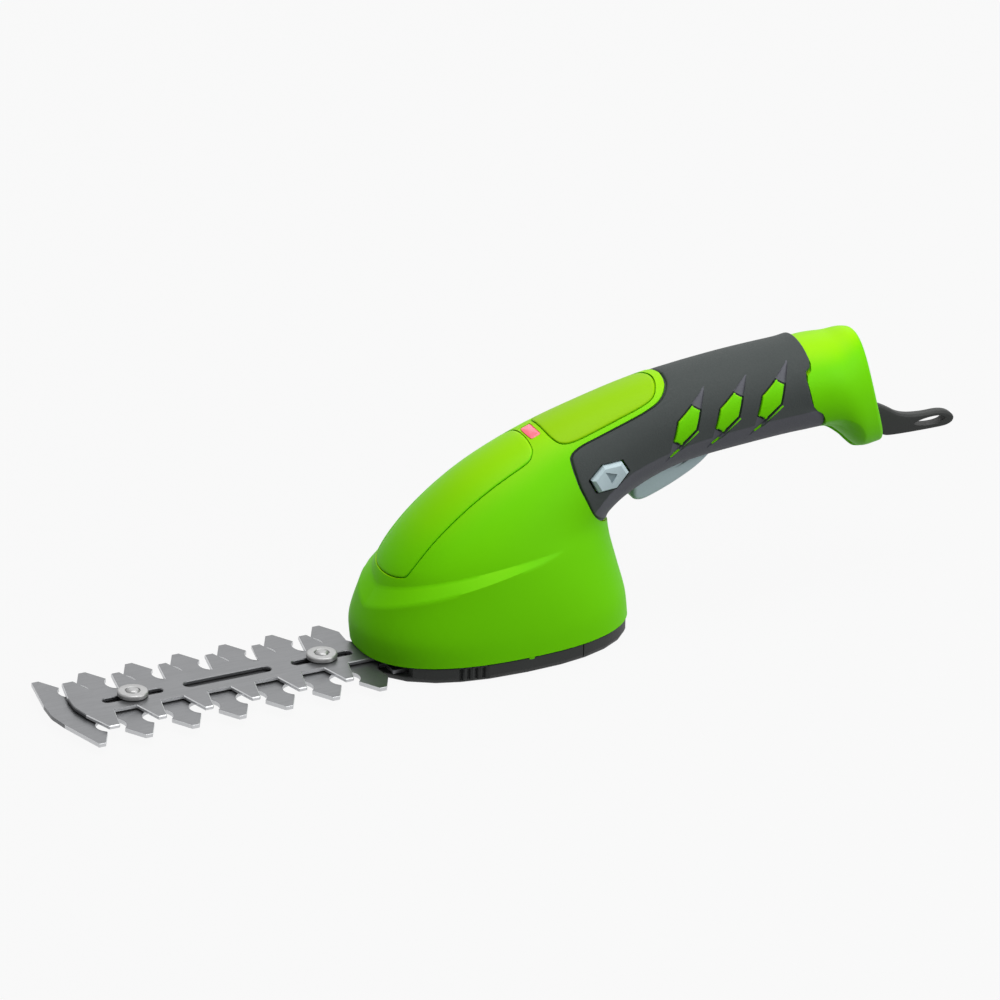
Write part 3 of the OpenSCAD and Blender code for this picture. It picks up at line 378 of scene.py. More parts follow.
def sectionAt(place):
    i = np.clip(np.floor(place).astype(int), 0, last - 1)
    f = (place - i)[..., None]
    a, b = sections[np.maximum(i - 1, 0)], sections[i]
    c, d = sections[i + 1], sections[np.minimum(i + 2, last)]
    square, cube = 2 * a - 5 * b + 4 * c - d, 3 * b - a - 3 * c + d
    return 0.5 * (2 * b + (c - a) * f + square * f * f + cube * f ** 3)


# ledge round the body: each line's start, rise per degree, where it bends and how much
ledge = {"low": (1.65, 0.0148, 50, 0.00004), "high": (2.25, 0.011, 60, 0.00002), "until": 110,
         "stand": 1.0, "fade": (70, 40), "spread": 0.8}


def ledgeLine(line, angle):
    start, rise, bend, more = ledge[line]
    a = np.minimum(angle, ledge["until"])
    return start + a * rise + np.maximum(a - bend, 0) ** 2 * more


# the skirt stands out below the ledge and the dome draws in above it
def ledgeAt(place, angle):
    low, high = ledgeLine("low", angle), ledgeLine("high", angle)
    fade = 1 - ramp(angle, ledge["fade"])
    below = np.exp(np.minimum(place - low, 0) / ledge["spread"])
    above = -np.exp(np.minimum(high - place, 0) / ledge["spread"])
    slope = 1 - 2 * np.clip((place - low) / (high - low), 0, 1)
    return ledge["stand"] * fade * np.where(place < low, below, np.where(place > high, above, slope))


# point of the skin at a place along the body and a turn round it in degrees, moved out by off
def skinAt(place, turn, off=0.0):
    place, turn, off = np.broadcast_arrays(*(np.asarray(v, float) for v in (place, turn, off)))
    angle = np.abs(turn)
    s = sectionAt(place)
    f = np.clip((place - body["roundFrom"]) / (last - body["roundFrom"]), 0, 1)
    e = off + ledgeAt(place, angle) + body["endRound"] * (np.sqrt(1 - body["endShare"] * f * f) - 1)
    halfX, halfZ = (s[..., 0] - s[..., 2]) / 2, (s[..., 1] - s[..., 3]) / 2
    cos, sin = np.cos(np.radians(angle)), np.clip(np.sin(np.radians(angle)), 0, 1)
    c = np.sign(cos) * np.abs(cos) ** (2 / s[..., 5]) * (1 + e / np.hypot(halfX, halfZ))
    w = np.sign(turn) * sin ** (2 / s[..., 5]) * (s[..., 4] + e)
    return np.stack([(s[..., 0] + s[..., 2]) / 2 + halfX * c, w, (s[..., 1] + s[..., 3]) / 2 + halfZ * c], -1)


# how the skin runs at a point: mm per section and mm per degree
def skinRun(place, turn, placeStep=0.01, turnStep=0.5):
    along = (skinAt(place + placeStep, turn) - skinAt(place - placeStep, turn)) / (2 * placeStep)
    about = (skinAt(place, turn + turnStep) - skinAt(place, turn - turnStep)) / (2 * turnStep)
    return along, about


# unit direction on the skin across a line that runs by step, with the run of the skin
def acrossLine(line, step):
    along, about = skinRun(line[:, 0], line[:, 1])
    out = np.cross(along * step[:, :1] + about * step[:, 1:], np.cross(along, about))
    out /= np.linalg.norm(out, axis=1)[:, None] + 1e-12
    return out, along, about


# the change of place and turn that 1 mm along out makes
def skinMove(out, along, about):
    uu, uv, vv = (along * along).sum(1), (along * about).sum(1), (about * about).sum(1)
    pu, pv = (out * along).sum(1), (out * about).sum(1)
    det = uu * vv - uv * uv
    return np.stack([(pu * vv - pv * uv) / det, (pv * uu - pu * uv) / det], 1)


# moves a closed outline on the skin outwards by a width in mm, along the skin
def pushed(outline, width):
    out, along, about = acrossLine(outline, np.roll(outline, -1, 0) - np.roll(outline, 1, 0))
    x, y = outline[:, 0], outline[:, 1]
    out *= np.sign(np.sum(x * np.roll(y, -1) - np.roll(x, -1) * y))
    return outline + skinMove(out, along, about) * width


# moves a ring that goes round the body along it: forwards is negative
def pushedOpen(ring, width):
    step = np.roll(ring, -1, 0) - np.roll(ring, 1, 0)
    step[:, 1] = (step[:, 1] + 180) % 360 - 180
    out, along, about = acrossLine(ring, step)
    out *= np.sign((out * along).sum(1).mean())
    moved = ring + skinMove(out, along, about) * width
    moved[ring[:, 1] == 0, 1] = 0
    flat = np.abs(ring[:, 1]) == 180
    moved[flat, 1] = ring[flat, 1]
    return moved


# where the search on the skin starts, and its longest steps in place and turn
search = {"grip": (8.5, 85), "neck": (6.9, 75), "rounds": 40, "placeStep": 0.4, "turnStep": 12}


# place and turn on the skin of a point seen from the side, as X and Z
def fromSide(points, start=search["grip"]):
    target = np.asarray(points, float)
    guess = np.tile(np.asarray(start, float), (len(target), 1))
    for _ in range(search["rounds"]):
        here = skinAt(guess[:, 0], guess[:, 1])[:, [0, 2]]
        along, about = skinRun(guess[:, 0], guess[:, 1])
        a, b = along[:, [0, 2]], about[:, [0, 2]]
        miss = target - here
        det = a[:, 0] * b[:, 1] - a[:, 1] * b[:, 0]
        dp = (miss[:, 0] * b[:, 1] - miss[:, 1] * b[:, 0]) / det
        dt = (a[:, 0] * miss[:, 1] - a[:, 1] * miss[:, 0]) / det
        guess[:, 0] += np.clip(dp, -search["placeStep"], search["placeStep"])
        guess[:, 1] += np.clip(dt, -search["turnStep"], search["turnStep"])
    return guess


# cuts the corners of a line round; an open one keeps its ends
def cutRound(corners, rounds, closed=True):
    line = np.asarray(corners, float)
    for _ in range(rounds):
        nxt = np.roll(line, -1, 0) if closed else line[1:]
        now = line if closed else line[:-1]
        cut = np.stack([now * 0.75 + nxt * 0.25, now * 0.25 + nxt * 0.75], 1).reshape(-1, 2)
        line = cut if closed else np.concatenate([line[:1], cut[1:-1], line[-1:]])
    return line


# evenly spaced points along a line on the skin through rounded corners
def drawn(corners, count, rounds, closed=False):
    line = cutRound(corners, rounds, closed)
    ring = np.concatenate([line, line[:1]]) if closed else line
    spots = skinAt(ring[:, 0], ring[:, 1])
    run = np.concatenate([[0], np.cumsum(np.linalg.norm(np.diff(spots, axis=0), axis=1))])
    want = np.linspace(0, run[-1], count, endpoint=not closed)
    return np.stack([np.interp(want, run, ring[:, 0]), np.interp(want, run, ring[:, 1])], 1)


# cosine and sine round a circle
def circle(count):
    a = np.linspace(0, 2 * math.pi, count, endpoint=False)
    return np.cos(a), np.sin(a)


# a piece of skin inside an outline, between two depths, with a rounded upper edge
def skinPatch(name, outline, top, under, edge, rings=20, crown=0.0):
    centre = outline.mean(0)
    shrink = lambda shape, g: centre + (shape - centre) * g
    inner = np.linspace(0.04, 1, rings)
    rows = [skinAt(*shrink(outline, g).T, under) for g in inner]
    if edge > 0:
        for k in np.linspace(0, 1, 5):
            inset = pushed(outline, -edge * (1 - math.cos(k * math.pi / 2)))
            rows.append(skinAt(*inset.T, top - edge * (1 - math.sin(k * math.pi / 2))))
        flat = pushed(outline, -edge)
    else:
        rows.append(skinAt(*outline.T, top))
        flat = outline
    for g in inner[::-1][1:]:
        rows.append(skinAt(*shrink(flat, g).T, top + crown * (1 - g * g)))
    return ringMesh(name, rows, "fan")


# outlines on the skin, read off the photo: place along the body, degrees from the ridge
# deep is the depth of the pocket in the shell, and the panel ends panelSeat above its floor
panelSeat = 0.1
nose = {"half": [(2.64, 0), (2.66, 10), (2.71, 18), (2.77, 21.5), (2.90, 23), (3.46, 26), (4.25, 30),
                 (4.98, 33), (5.54, 34.8), (5.72, 34.2), (5.81, 31.5), (5.93, 25), (6.0, 12), (6.015, 0)],
        "gap": 0.42, "deep": 1.3, "edge": 0.6, "crown": 0, "count": 160, "rings": 26}
top = {"half": [(6.29, 0), (6.25, 24), (6.24, 34), (6.3, 39.6), (6.44, 42), (6.7, 42.6), (7.16, 41.7),
                (7.6, 39.4), (7.82, 34), (7.95, 20), (8.02, 0)],
       "gap": 0.42, "deep": 1.3, "edge": 0.7, "crown": 0, "count": 160, "rings": 26}
lens = {"half": [(6.05, 0), (6.05, 11.4), (6.055, 12.6), (6.07, 13), (6.185, 13), (6.2, 12.6), (6.205, 11.4),
                 (6.21, 0)],
        "gap": 0.25, "deep": 1.9, "edge": 0.5, "crown": 0.35, "count": 80, "rings": 10}


# the half runs from the front to the back of the ridge and is mirrored
def panelOutline(panel):
    half = np.asarray(panel["half"], float)
    whole = np.concatenate([half, (half * [1, -1])[::-1][1:-1]])
    return drawn(whole, panel["count"], 2, closed=True)


# the sleeve's fore edge runs from the throat up to the rim and round behind the top panel
# its dip and fades die out over their runs in mm; the room is the space for it in the shell
sleeve = {"fore": [(3.5, 180), (3.75, 158), (4.21, 138), (4.7, 122), (5.26, 104), (5.79, 78), (6.04, 62),
                   (6.15, 54), (6.38, 50.6), (6.69, 51.4), (7.23, 50.6), (7.6, 48.4), (7.86, 43), (8.02, 32),
                   (8.12, 18), (8.15, 0)],
          "aft": [(10.55, 180), (10.55, 141), (10.44, 110), (10.14, 98), (10.09, 85), (10.04, 57),
                  (10.25, 49), (10.25, 20), (10.25, 0)],
          "columns": 190, "rows": 96, "underRows": 14, "edge": 0.9, "gap": 0.7, "flange": 0.6,
          "flangeTop": 1.3, "flangeSlope": 0.1, "dip": 0.5, "dipRun": 5, "foreFade": 10, "aftFade": 8,
          "roomEnd": 12.2, "roomHigh": 4, "roomSlack": 0.25, "roomRows": 60}
# crease along the lower side of the grip: place and degrees, and last the soft edge in mm of the paler band
# below it, which is painted light on the underside
crease = {"line": [(4, 124), (5, 119), (5.7, 112), (6.5, 105.5), (7.5, 105), (10.6, 105)],
          "stand": 0.8, "width": 2.4, "perDegree": 0.34, "soft": 0.4, "below": 0.35, "belowRun": 6,
          "paintedBandSoft": 0.5}


def creaseAt(place, turn):
    line = np.array(crease["line"])
    at = np.interp(place, line[:, 0], line[:, 1])
    miss = (np.abs(turn) - at) * crease["perDegree"]
    soft = np.sqrt(miss * miss + crease["soft"] ** 2) - crease["soft"]
    below = crease["below"] * (1 - smooth(miss / crease["belowRun"]))
    return crease["stand"] * (np.exp(-soft / crease["width"]) - below)


# the same curve on both sides, as one ring: left from the underside up, right back down
def bothSides(half):
    left = half * [1, -1]
    return np.concatenate([left, half[::-1][1:-1]])


fore = drawn(sleeve["fore"], sleeve["columns"], 3)
fore[:, 1] = np.clip(fore[:, 1], 0, 180)
foreEdge, aftEdge = bothSides(fore), bothSides(drawn(sleeve["aft"], sleeve["columns"], 1))


def between(a, b, share):
    return a + (b - a) * np.asarray(share).reshape(-1, 1)


# length is in mm along each slanted line from the fore to the aft edge
def makeSleeve(name):
    spots = np.stack([skinAt(*between(foreEdge, aftEdge, k).T) for k in np.linspace(0, 1, 13)])
    length = np.linalg.norm(np.diff(spots, axis=0), axis=2).sum(0)
    edge = sleeve["edge"]
    starts = [edge * (1 - math.cos(k * math.pi / 2)) for k in np.linspace(0, 1, 6)[:-1]]
    runs = [np.full(len(length), d) for d in starts]
    runs += [edge + (length - 2 * edge) * k for k in np.linspace(0, 1, sleeve["rows"])]
    runs += [length - d for d in starts[::-1]]
    rows = []
    for d in runs:
        line = between(foreEdge, aftEdge, d / length)
        rim = np.minimum(d, length - d)
        lip = np.where(rim < edge, edge - np.sqrt(np.maximum(edge ** 2 - (edge - rim) ** 2, 0)), 0)
        dip = sleeve["dip"] * np.exp(-d / sleeve["dipRun"])
        fade = smooth(d / sleeve["foreFade"]) * smooth((length - d) / sleeve["aftFade"])
        rows.append(skinAt(*line.T, -lip - dip + fade * creaseAt(*line.T)))
    under = -body["sleeve"]
    rows += [skinAt(*between(foreEdge, aftEdge, k).T, under) for k in np.linspace(1, 0, sleeve["underRows"])]
    flange = pushedOpen(foreEdge, -sleeve["flange"])
    rows.append(skinAt(*flange.T, under))
    rows.append(skinAt(*flange.T, -sleeve["flangeTop"]))
    rows.append(skinAt(*foreEdge.T, -sleeve["flangeTop"] - sleeve["flangeSlope"]))
    return ringMesh(name, rows, "loop")


# room for the sleeve and the cap: everything behind the fore edge is lowered
def sleeveRoom():
    fore = pushedOpen(foreEdge, -sleeve["gap"])
    back = aftEdge.copy()
    back[:, 0] = sleeve["roomEnd"]
    deep = -body["sleeve"] - sleeve["roomSlack"]
    shares = np.linspace(0, 1, sleeve["roomRows"])
    rows = [skinAt(*between(fore, back, k).T, sleeve["roomHigh"]) for k in shares]
    rows += [skinAt(*between(fore, back, k).T, deep) for k in np.linspace(1, 0, sleeve["roomRows"])]
    return ringMesh("sleeveRoom", rows, "loop")


# a prism seen from the side: outline as X and Z, from one Y to another
def sidePrism(name, outline, fromY, toY):
    shape = np.asarray(outline, float)
    rows = [np.stack([shape[:, 0], np.full(len(shape), y), shape[:, 1]], 1) for y in (fromY, toY)]
    return ringMesh(name, rows, "fan")


def roundedBox(name, low, high, radius, steps=6):
    x0, z0, x1, z1 = low[0] + radius, low[2] + radius, high[0] - radius, high[2] - radius
    corner = np.linspace(0, math.pi / 2, steps)
    shape = []
    for cx, cz, start in ((x1, z1, 0), (x0, z1, 1), (x0, z0, 2), (x1, z0, 3)):
        a = corner + start * math.pi / 2
        shape += [(cx + radius * math.cos(k), cz + radius * math.sin(k)) for k in a]
    return sidePrism(name, shape, low[1], high[1])


# hexagonal windows of the grip, seen from the side in mm, with the green inserts in them
windows = {"first": (72.8, 78.7), "pitch": (17.1, 1.65), "count": 3, "deep": 1.3, "gap": 0.8, "rings": 8,
           "shape": [(2.6, 7.6), (6.3, 5.2), (4.1, -2.4), (-2.6, -7.8), (-6.3, -5.2), (-4.1, 2.6)],
           "fin": [(2.5, 7.4), (9.3, 11.9), (6.1, 5.0)], "finDeep": [0.9, 0.02, 0.9],
           "tail": [(-6.1, -5.0), (-2.4, -7.6), (-8.6, -13.0)], "tailDeep": [0.6, 0.9, 0.02],
           "line": [(4.2, -2.5), (-2.5, -7.9), (-6.7, -11.3), (-6.4, -11.7), (-2.1, -8.4), (4.6, -3.1)],
           "lineDeep": 0.6, "lineTop": -0.15, "insertTop": -0.05, "insertEdge": 0.45, "insertSeat": 0.02}
# lock-off button, seen from the side in mm; profile is size and height of its bevelled rim
button = {"at": (40.1, 66.2), "proud": 1.5, "slack": 1.14,
          "roomFrom": -30, "shellRoom": -12, "sleeveRoom": -10,
          "shape": [(7.7, 0.3), (5.2, 4.7), (-2.4, 4.5), (-7.7, 0.3), (-5.2, -4.6), (2.6, -4.8)],
          "profile": [(1, -1.0), (0.985, -0.85), (0.84, -0.1), (0.82, 0)]}
# opening for the trigger, lowest and highest corner in mm
triggerRoom = {"low": (53.2, -6.6, 40), "high": (91.2, 6.6, 69), "radius": 2}
# screws of the shell on its right side, as X and Z in mm; the one in the grip is under the sleeve
shellScrews = {"spots": [(-38, 27.5), (-4, 57.5), (46.5, 14.5)], "gripSpot": (44, 78.5),
               "seat": 6, "reach": 40, "diameter": 6.4}
windowSpots = [np.add(windows["first"], np.multiply(windows["pitch"], k)) for k in range(windows["count"])]


def sideOutline(shape, at, scale=1.0, perEdge=8):
    shape = np.asarray(shape, float) * scale + np.asarray(at, float)
    nxt = np.roll(shape, -1, 0)
    share = np.linspace(0, 1, perEdge, endpoint=False)[:, None]
    return np.concatenate([a + (b - a) * share for a, b in zip(shape, nxt)])


def onSide(shape, at, side, perEdge=8, start=search["grip"]):
    return fromSide(sideOutline(shape, at, 1.0, perEdge), start) * [1, side]


# a carved facet: each corner has its own depth
def facetTool(name, shape, depths, at, side):
    spots = fromSide(np.asarray(shape, float) + np.asarray(at, float)) * [1, side]
    rows = [skinAt(*spots.T, -np.asarray(depths, float)), skinAt(*spots.T, over)]
    return ringMesh(name, rows, "fan")


def buttonRoom(toY):
    shape = sideOutline(button["shape"], button["at"], button["slack"], 3)
    return sidePrism("buttonRoom", shape, button["roomFrom"], toY)


# rows of each zone of a shell and where the zones end; lower moves the wall's inside in under the sleeve
shellForm = {"turns": (176, 119), "seamTurns": [178, 179, 180], "skirtRows": 26, "ledgeRows": 7,
             "domeRows": 90, "domeEnd": 6.2, "handleRows": 120, "handleEnd": 11.8,
             "lowerBy": 0.6, "lowerRun": (2.6, 1.2)}
# small tab at the foot of the skirt, in mm
tab = {"x": (2.0, 4.2), "y": (31.2, 32.9), "z": (5.7, 7.4), "radius": 0.4}


def makeShell(name, side):
    form = shellForm
    turns = np.concatenate([np.linspace(0, *form["turns"]), form["seamTurns"]])
    lows, highs = ledgeLine("low", turns), ledgeLine("high", turns)
    end = form["domeEnd"]
    places = [lows * k for k in np.linspace(0, 1, form["skirtRows"])]
    places += [lows + (highs - lows) * k for k in np.linspace(0, 1, form["ledgeRows"])[1:]]
    places += [highs + (end - highs) * k for k in np.linspace(0, 1, form["domeRows"])[1:]]
    places += [np.full(len(turns), p) for p in np.linspace(end, form["handleEnd"], form["handleRows"])[1:]]
    start, run = form["lowerRun"]
    rows = []
    for p in places:
        inner = -body["wall"] - (body["sleeve"] + form["lowerBy"]) * np.clip((p - start) / run, 0, 1)
        outer = skinAt(p, turns * side)
        lined = skinAt(p, turns * side, inner)
        rows.append(np.concatenate([outer, lined[::-1]]))
    return asObject(name, ringMesh(name, rows, "strip"))


def shellTools(side):
    tools = [sleeveRoom()]
    for panel in (nose, top, lens):
        tools.append(skinPatch("pocket", pushed(panelOutline(panel), panel["gap"]), over, -panel["deep"], 0))
    tools.append(roundedBox("triggerRoom", **triggerRoom))
    if side < 0:
        tools.append(buttonRoom(button["shellRoom"]))
    else:
        ring = np.stack(circle(32), 1) * (shellScrews["diameter"] / 2)
        for spot in shellScrews["spots"]:
            tools.append(sidePrism("screwRoom", spot + ring, shellScrews["seat"], shellScrews["reach"]))
    return tools


for side, node, name in ((-1, "housing_left", "shellLeft"), (1, "housing_right", "shellRight")):
    shell = carve(makeShell(name, side), shellTools(side))
    low, high = zip(tab["x"], sorted(side * y for y in tab["y"]), tab["z"])
    carve(shell, [roundedBox("tab", low, high, tab["radius"], 3)], "UNION")
    finishPiece(shell, "housing", "green_shell", [node], 28)

for panel, node, name, slot in ((nose, "nose_panel", "nosePanel", "green_panel"),
                                (top, "top_panel", "topPanel", "lime_panel"),
                                (lens, "status_lens", "statusLens", "red_lens")):
    mesh = skinPatch(name, panelOutline(panel), 0, -panel["deep"] + panelSeat, panel["edge"], panel["rings"],
                     panel["crown"])
    finishPiece(asObject(name, mesh), "housing", slot, [node], 35)


# whether points seen from the side lie in a triangle, or on its edge
def inTriangle(points, corners, slack=0.02):
    a, b, c = np.asarray(corners, float)
    cross = lambda p, q: (q[0] - p[0]) * (points[:, 1] - p[1]) - (q[1] - p[1]) * (points[:, 0] - p[0])
    turns = np.stack([cross(a, b), cross(b, c), cross(c, a)])
    return (turns > -slack).all(0) | (turns < slack).all(0)


# middles of the faces seen from the side, as X and Z in mm
def sideMiddles(mesh):
    return np.array([p.center for p in mesh.polygons])[:, [0, 2]] / mm


# share of the second shade, which is painted light on the grip and the blades and a darker fill on the
# button: whole faces, and by point where it is given
def setBand(mesh, byFace, byPoint=None):
    inlayAndPaintedLight = mesh.attributes.new("inlayAndPaintedLight", "FLOAT", "CORNER")
    owner = np.repeat(np.arange(len(mesh.polygons)), [p.loop_total for p in mesh.polygons])
    share = byFace[owner].astype(np.float32)
    if byPoint is not None:
        corners = np.array([loop.vertex_index for loop in mesh.loops])
        share = np.maximum(byPoint[corners], share).astype(np.float32)
    inlayAndPaintedLight.data.foreach_set("value", share)


# painted light: the underside band below the crease and the carved facets of the windows are painted paler,
# standing in for the light they catch
def paintGripLight(mesh):
    spots = np.array([v.co for v in mesh.vertices]) / mm
    line = np.array(crease["line"])
    places = np.linspace(line[0, 0], line[-1, 0], 200)
    curve = skinAt(places, np.interp(places, line[:, 0], line[:, 1]))
    edge = np.interp(spots[:, 0], curve[:, 0], curve[:, 2])
    low = smooth((edge - spots[:, 2]) / crease["paintedBandSoft"] + 0.5)
    middles = sideMiddles(mesh)
    facet = np.zeros(len(middles), bool)
    for at in windowSpots:
        for shape in (windows["fin"], windows["tail"]):
            facet |= inTriangle(middles, np.add(shape, at))
    setBand(mesh, facet, low)


grip = asObject("gripSleeve", makeSleeve("gripSleeve"))
sides = [(spot, side) for side in (-1, 1) for spot in windowSpots]
hexagons = [onSide(windows["shape"], *seat) for seat in sides]
lines = [onSide(windows["line"], *seat) for seat in sides]
rings = windows["rings"]
carve(grip, [
    joined("windowTools", [skinPatch("w", h, over, -windows["deep"], 0, rings) for h in hexagons]),
    joined("finTools", [facetTool("f", windows["fin"], windows["finDeep"], *seat) for seat in sides]),
    joined("tailTools", [facetTool("t", windows["tail"], windows["tailDeep"], *seat) for seat in sides]),
    joined("lineTools", [skinPatch("l", line, over, -windows["lineDeep"], 0, rings) for line in lines]),
    buttonRoom(button["sleeveRoom"]), roundedBox("triggerRoom", **triggerRoom)])
finishPiece(grip, "housing", "grip_rubber", ["grip_sleeve"], 30)
# painted light on the grip's underside band and window facets
paintGripLight(grip.data)
insertLow, lineLow = (windows["insertSeat"] - windows[key] for key in ("deep", "lineDeep"))
inserts = joined("gripInserts", [
    skinPatch("i", pushed(h, -windows["gap"]), windows["insertTop"], insertLow, windows["insertEdge"], rings)
    for h in hexagons] + [skinPatch("g", line, windows["lineTop"], lineLow, 0, rings) for line in lines])
finishPiece(asObject("gripInserts", inserts), "housing", "green_shell", (), 35)

# end cap: jack is height and radius, slot is width, height and middle; a Run or a Turn is where a change
# starts, in sections or degrees, and how long it takes
cap = {"gap": 0.45, "wall": 2.2, "lip": 0.5, "wallEnd": 12.3, "jack": (75, 4.95), "jackX": (140, 170),
       "slot": (4.6, 10.9, 59.5), "slotX": (149, 170), "slotRound": 0.6,
       "hollowAt": (133, 56), "hollowReach": 14, "hollowSlope": 0.3, "hollowDeep": 1.5,
       "lean": (0.2, 1.8, 2.2), "leanRun": (11.2, 1.6),
       "drop": (3.2, 1.4), "dropRun": (10.8, 1.8), "dropTurn": (95, 45),
       "crown": (1.65, 0.2), "crownRun": (11.3, 1.25), "endRun": (12, 0.6), "crownTurn": (70, -50)}


# skin of the cap: a leaning rear face and a finger hollow at the lower front; turn is negative on the left,
# so the drop fills out the right half of the underside and the crown moves the whole left half
def capSkin(place, turn, off=0.0):
    here = skinAt(place, turn)
    away = np.hypot(here[:, 0] - cap["hollowAt"][0], here[:, 2] - cap["hollowAt"][1])
    sunk = np.minimum(cap["hollowDeep"], cap["hollowSlope"] * np.maximum(cap["hollowReach"] - away, 0))
    spots = skinAt(place, turn, off - sunk)
    across = np.cos(np.radians(turn))
    flat, tilt, waist = cap["lean"]
    spots[:, 0] -= (flat + tilt * across + waist * (1 - across ** 2)) * ramp(place, cap["leanRun"])
    full, less = cap["drop"]
    spots[:, 2] -= (full - less * ramp(place, cap["dropRun"])) * ramp(turn, cap["dropTurn"])
    sink, lift = cap["crown"]
    rise = lift * ramp(place, cap["endRun"]) - sink * (1 - ramp(place, cap["crownRun"]))
    spots[:, 2] += rise * ramp(turn, cap["crownTurn"])
    return spots


def makeCap(name):
    start = pushedOpen(aftEdge, cap["gap"])
    turns = start[:, 1]
    level = lambda place: np.stack([np.full(len(start), place), turns], 1)
    roundAt = lambda k: body["roundFrom"] + (last - body["roundFrom"]) * math.sin(k * math.pi / 2)
    inner = [between(start, level(cap["wallEnd"]), k) for k in np.linspace(1, 0, 12)]
    rows = [skinAt(*line.T, -cap["wall"]) for line in inner]
    rows += [capSkin(*start.T, -cap["lip"] * (1 - math.sin(k * math.pi / 2))) for k in np.linspace(0, 0.8, 4)]
    rows += [capSkin(*between(start, level(body["roundFrom"]), k).T) for k in np.linspace(0, 1, 60)[1:]]
    rows += [capSkin(*level(roundAt(k)).T) for k in np.linspace(0, 1, 16)[1:]]
    end = rows[-1]
    middle = end.mean(0)
    rows += [middle + (end - middle) * g for g in np.linspace(0.97, 0.06, 16)]
    piece = asObject(name, ringMesh(name, rows, "fan"))
    cos, sin = circle(48)
    z, r = cap["jack"]
    hole = [np.stack([np.full(48, x), r * cos, z + r * sin], 1) for x in cap["jackX"]]
    width, height, middleZ = cap["slot"]
    ends = [(x, s * width / 2, middleZ + s * height / 2) for x, s in zip(cap["slotX"], (-1, 1))]
    return carve(piece, [ringMesh("hole", hole, "fan"), roundedBox("slot", *ends, cap["slotRound"])])


finishPiece(makeCap("endCap"), "housing", "green_shell", ["end_cap"], 32)

# lock-off button: a bevelled plate that follows the neck, with a sunk triangle and a stem behind it
mark = {"shape": [(-2.2, 2.65), (2.5, 1.1), (0.1, -2.05)], "deep": 0.5, "above": 2}
stem = {"radius": 3, "from": -18.9, "to": -3.8, "under": -1.9}


def makeButton():
    on = onSide(button["shape"], button["at"], -1, 6, search["neck"])
    centre = on.mean(0)
    proud = button["proud"]
    level = lambda g, off: skinAt(*(centre + (on - centre) * g).T, off)
    rows = [level(g, stem["under"]) for g in np.linspace(0.1, 1, 6)]
    rows += [level(g, proud + height) for g, height in button["profile"]]
    rows += [level(g, proud) for g in np.linspace(0.75, 0.06, 8)]
    plate = asObject("lockButton", ringMesh("lockButton", rows, "fan"))
    sunk = onSide(mark["shape"], button["at"], -1, 5, search["neck"])
    tool = [skinAt(*sunk.T, height) for height in (proud - mark["deep"], proud + mark["above"])]
    carve(plate, [ringMesh("mark", tool, "fan")])
    ring = np.stack(circle(32), 1) * stem["radius"] + button["at"]
    carve(plate, [sidePrism("stem", ring, stem["from"], stem["to"])], "UNION")
    finishPiece(plate, "lock", "grey_plastic", ["lock_button"], 25)
    setBand(plate.data, inTriangle(sideMiddles(plate.data), np.add(mark["shape"], button["at"])))


makeButton()


# a bar seen from the side, with rounded long edges
def roundedBar(name, corners, half, radius, steps=7):
    line = cutRound(corners, 3)
    nxt = np.roll(line, -1, 0)
    step = nxt - np.roll(line, 1, 0)
    out = np.stack([step[:, 1], -step[:, 0]], 1) / np.linalg.norm(step, axis=1)[:, None]
    out *= np.sign(np.sum(line[:, 0] * nxt[:, 1] - nxt[:, 0] * line[:, 1]))
    turns = np.linspace(0, math.pi / 2, steps)
    levels = [(-half + radius * (1 - math.cos(a)), radius * (1 - math.sin(a))) for a in turns]
    levels += [(-y, inset) for y, inset in levels[::-1]]
    rows = []
    for y, inset in levels:
        flat = line - out * inset
        rows.append(np.stack([flat[:, 0], np.full(len(flat), y), flat[:, 1]], 1))
    return ringMesh(name, rows, "fan")


# trigger: a slim bar with a blunt nose and a boss round its pin
bar = {"corners": [(56.4, 51), (56.6, 47.3), (59, 46.2), (62.4, 46.5), (72.7, 50.3), (82.9, 55.4),
                   (88.6, 60.2), (90.3, 62.7), (88.8, 65.9), (85.6, 65.7), (83.4, 62.6), (80, 61.6),
                   (70, 60.2), (61, 59.6), (57, 55.4)],
       "half": 5.5, "radius": 1.9}
lever = asObject("triggerBar", roundedBar("triggerBar", **bar))
finishPiece(lever, "trigger", "grey_plastic", ["trigger"], 40)

# frame round the switch, its lower edge lifted to lie inside the sleeve: where, and how far in mm
trim = {"below": 61, "behind": 80, "lift": 0.3, "rear": 90, "rearLift": 1.5}
frameCopy = cadCopy("switchFrame", "switch_frame")
for v in frameCopy.data.vertices:
    if v.co.z < trim["below"] * mm and v.co.x > trim["behind"] * mm:
        v.co.z += (trim["rearLift"] if v.co.x > trim["rear"] * mm else trim["lift"]) * mm
finishPiece(frameCopy, "housing", "black_plastic", ["switch_frame"], 32)

# ground blades: narrow flat bevels along every edge
# painted highlight: the outer tooth walls are painted brighter, standing in for the light they catch; the
# mask takes what leans, is this far off the middle and ahead of this, in mm
bladeBevelAndHighlight = {"bevel": 0.3, "angle": 40, "lean": 0.9, "offMiddle": 8, "ahead": -52}


def bevelled(piece):
    edge = piece.modifiers.new("edge", "BEVEL")
    edge.width = bladeBevelAndHighlight["bevel"] * mm
    edge.segments = 1
    edge.limit_method = "ANGLE"
    edge.angle_limit = math.radians(bladeBevelAndHighlight["angle"])
    return settle(piece)


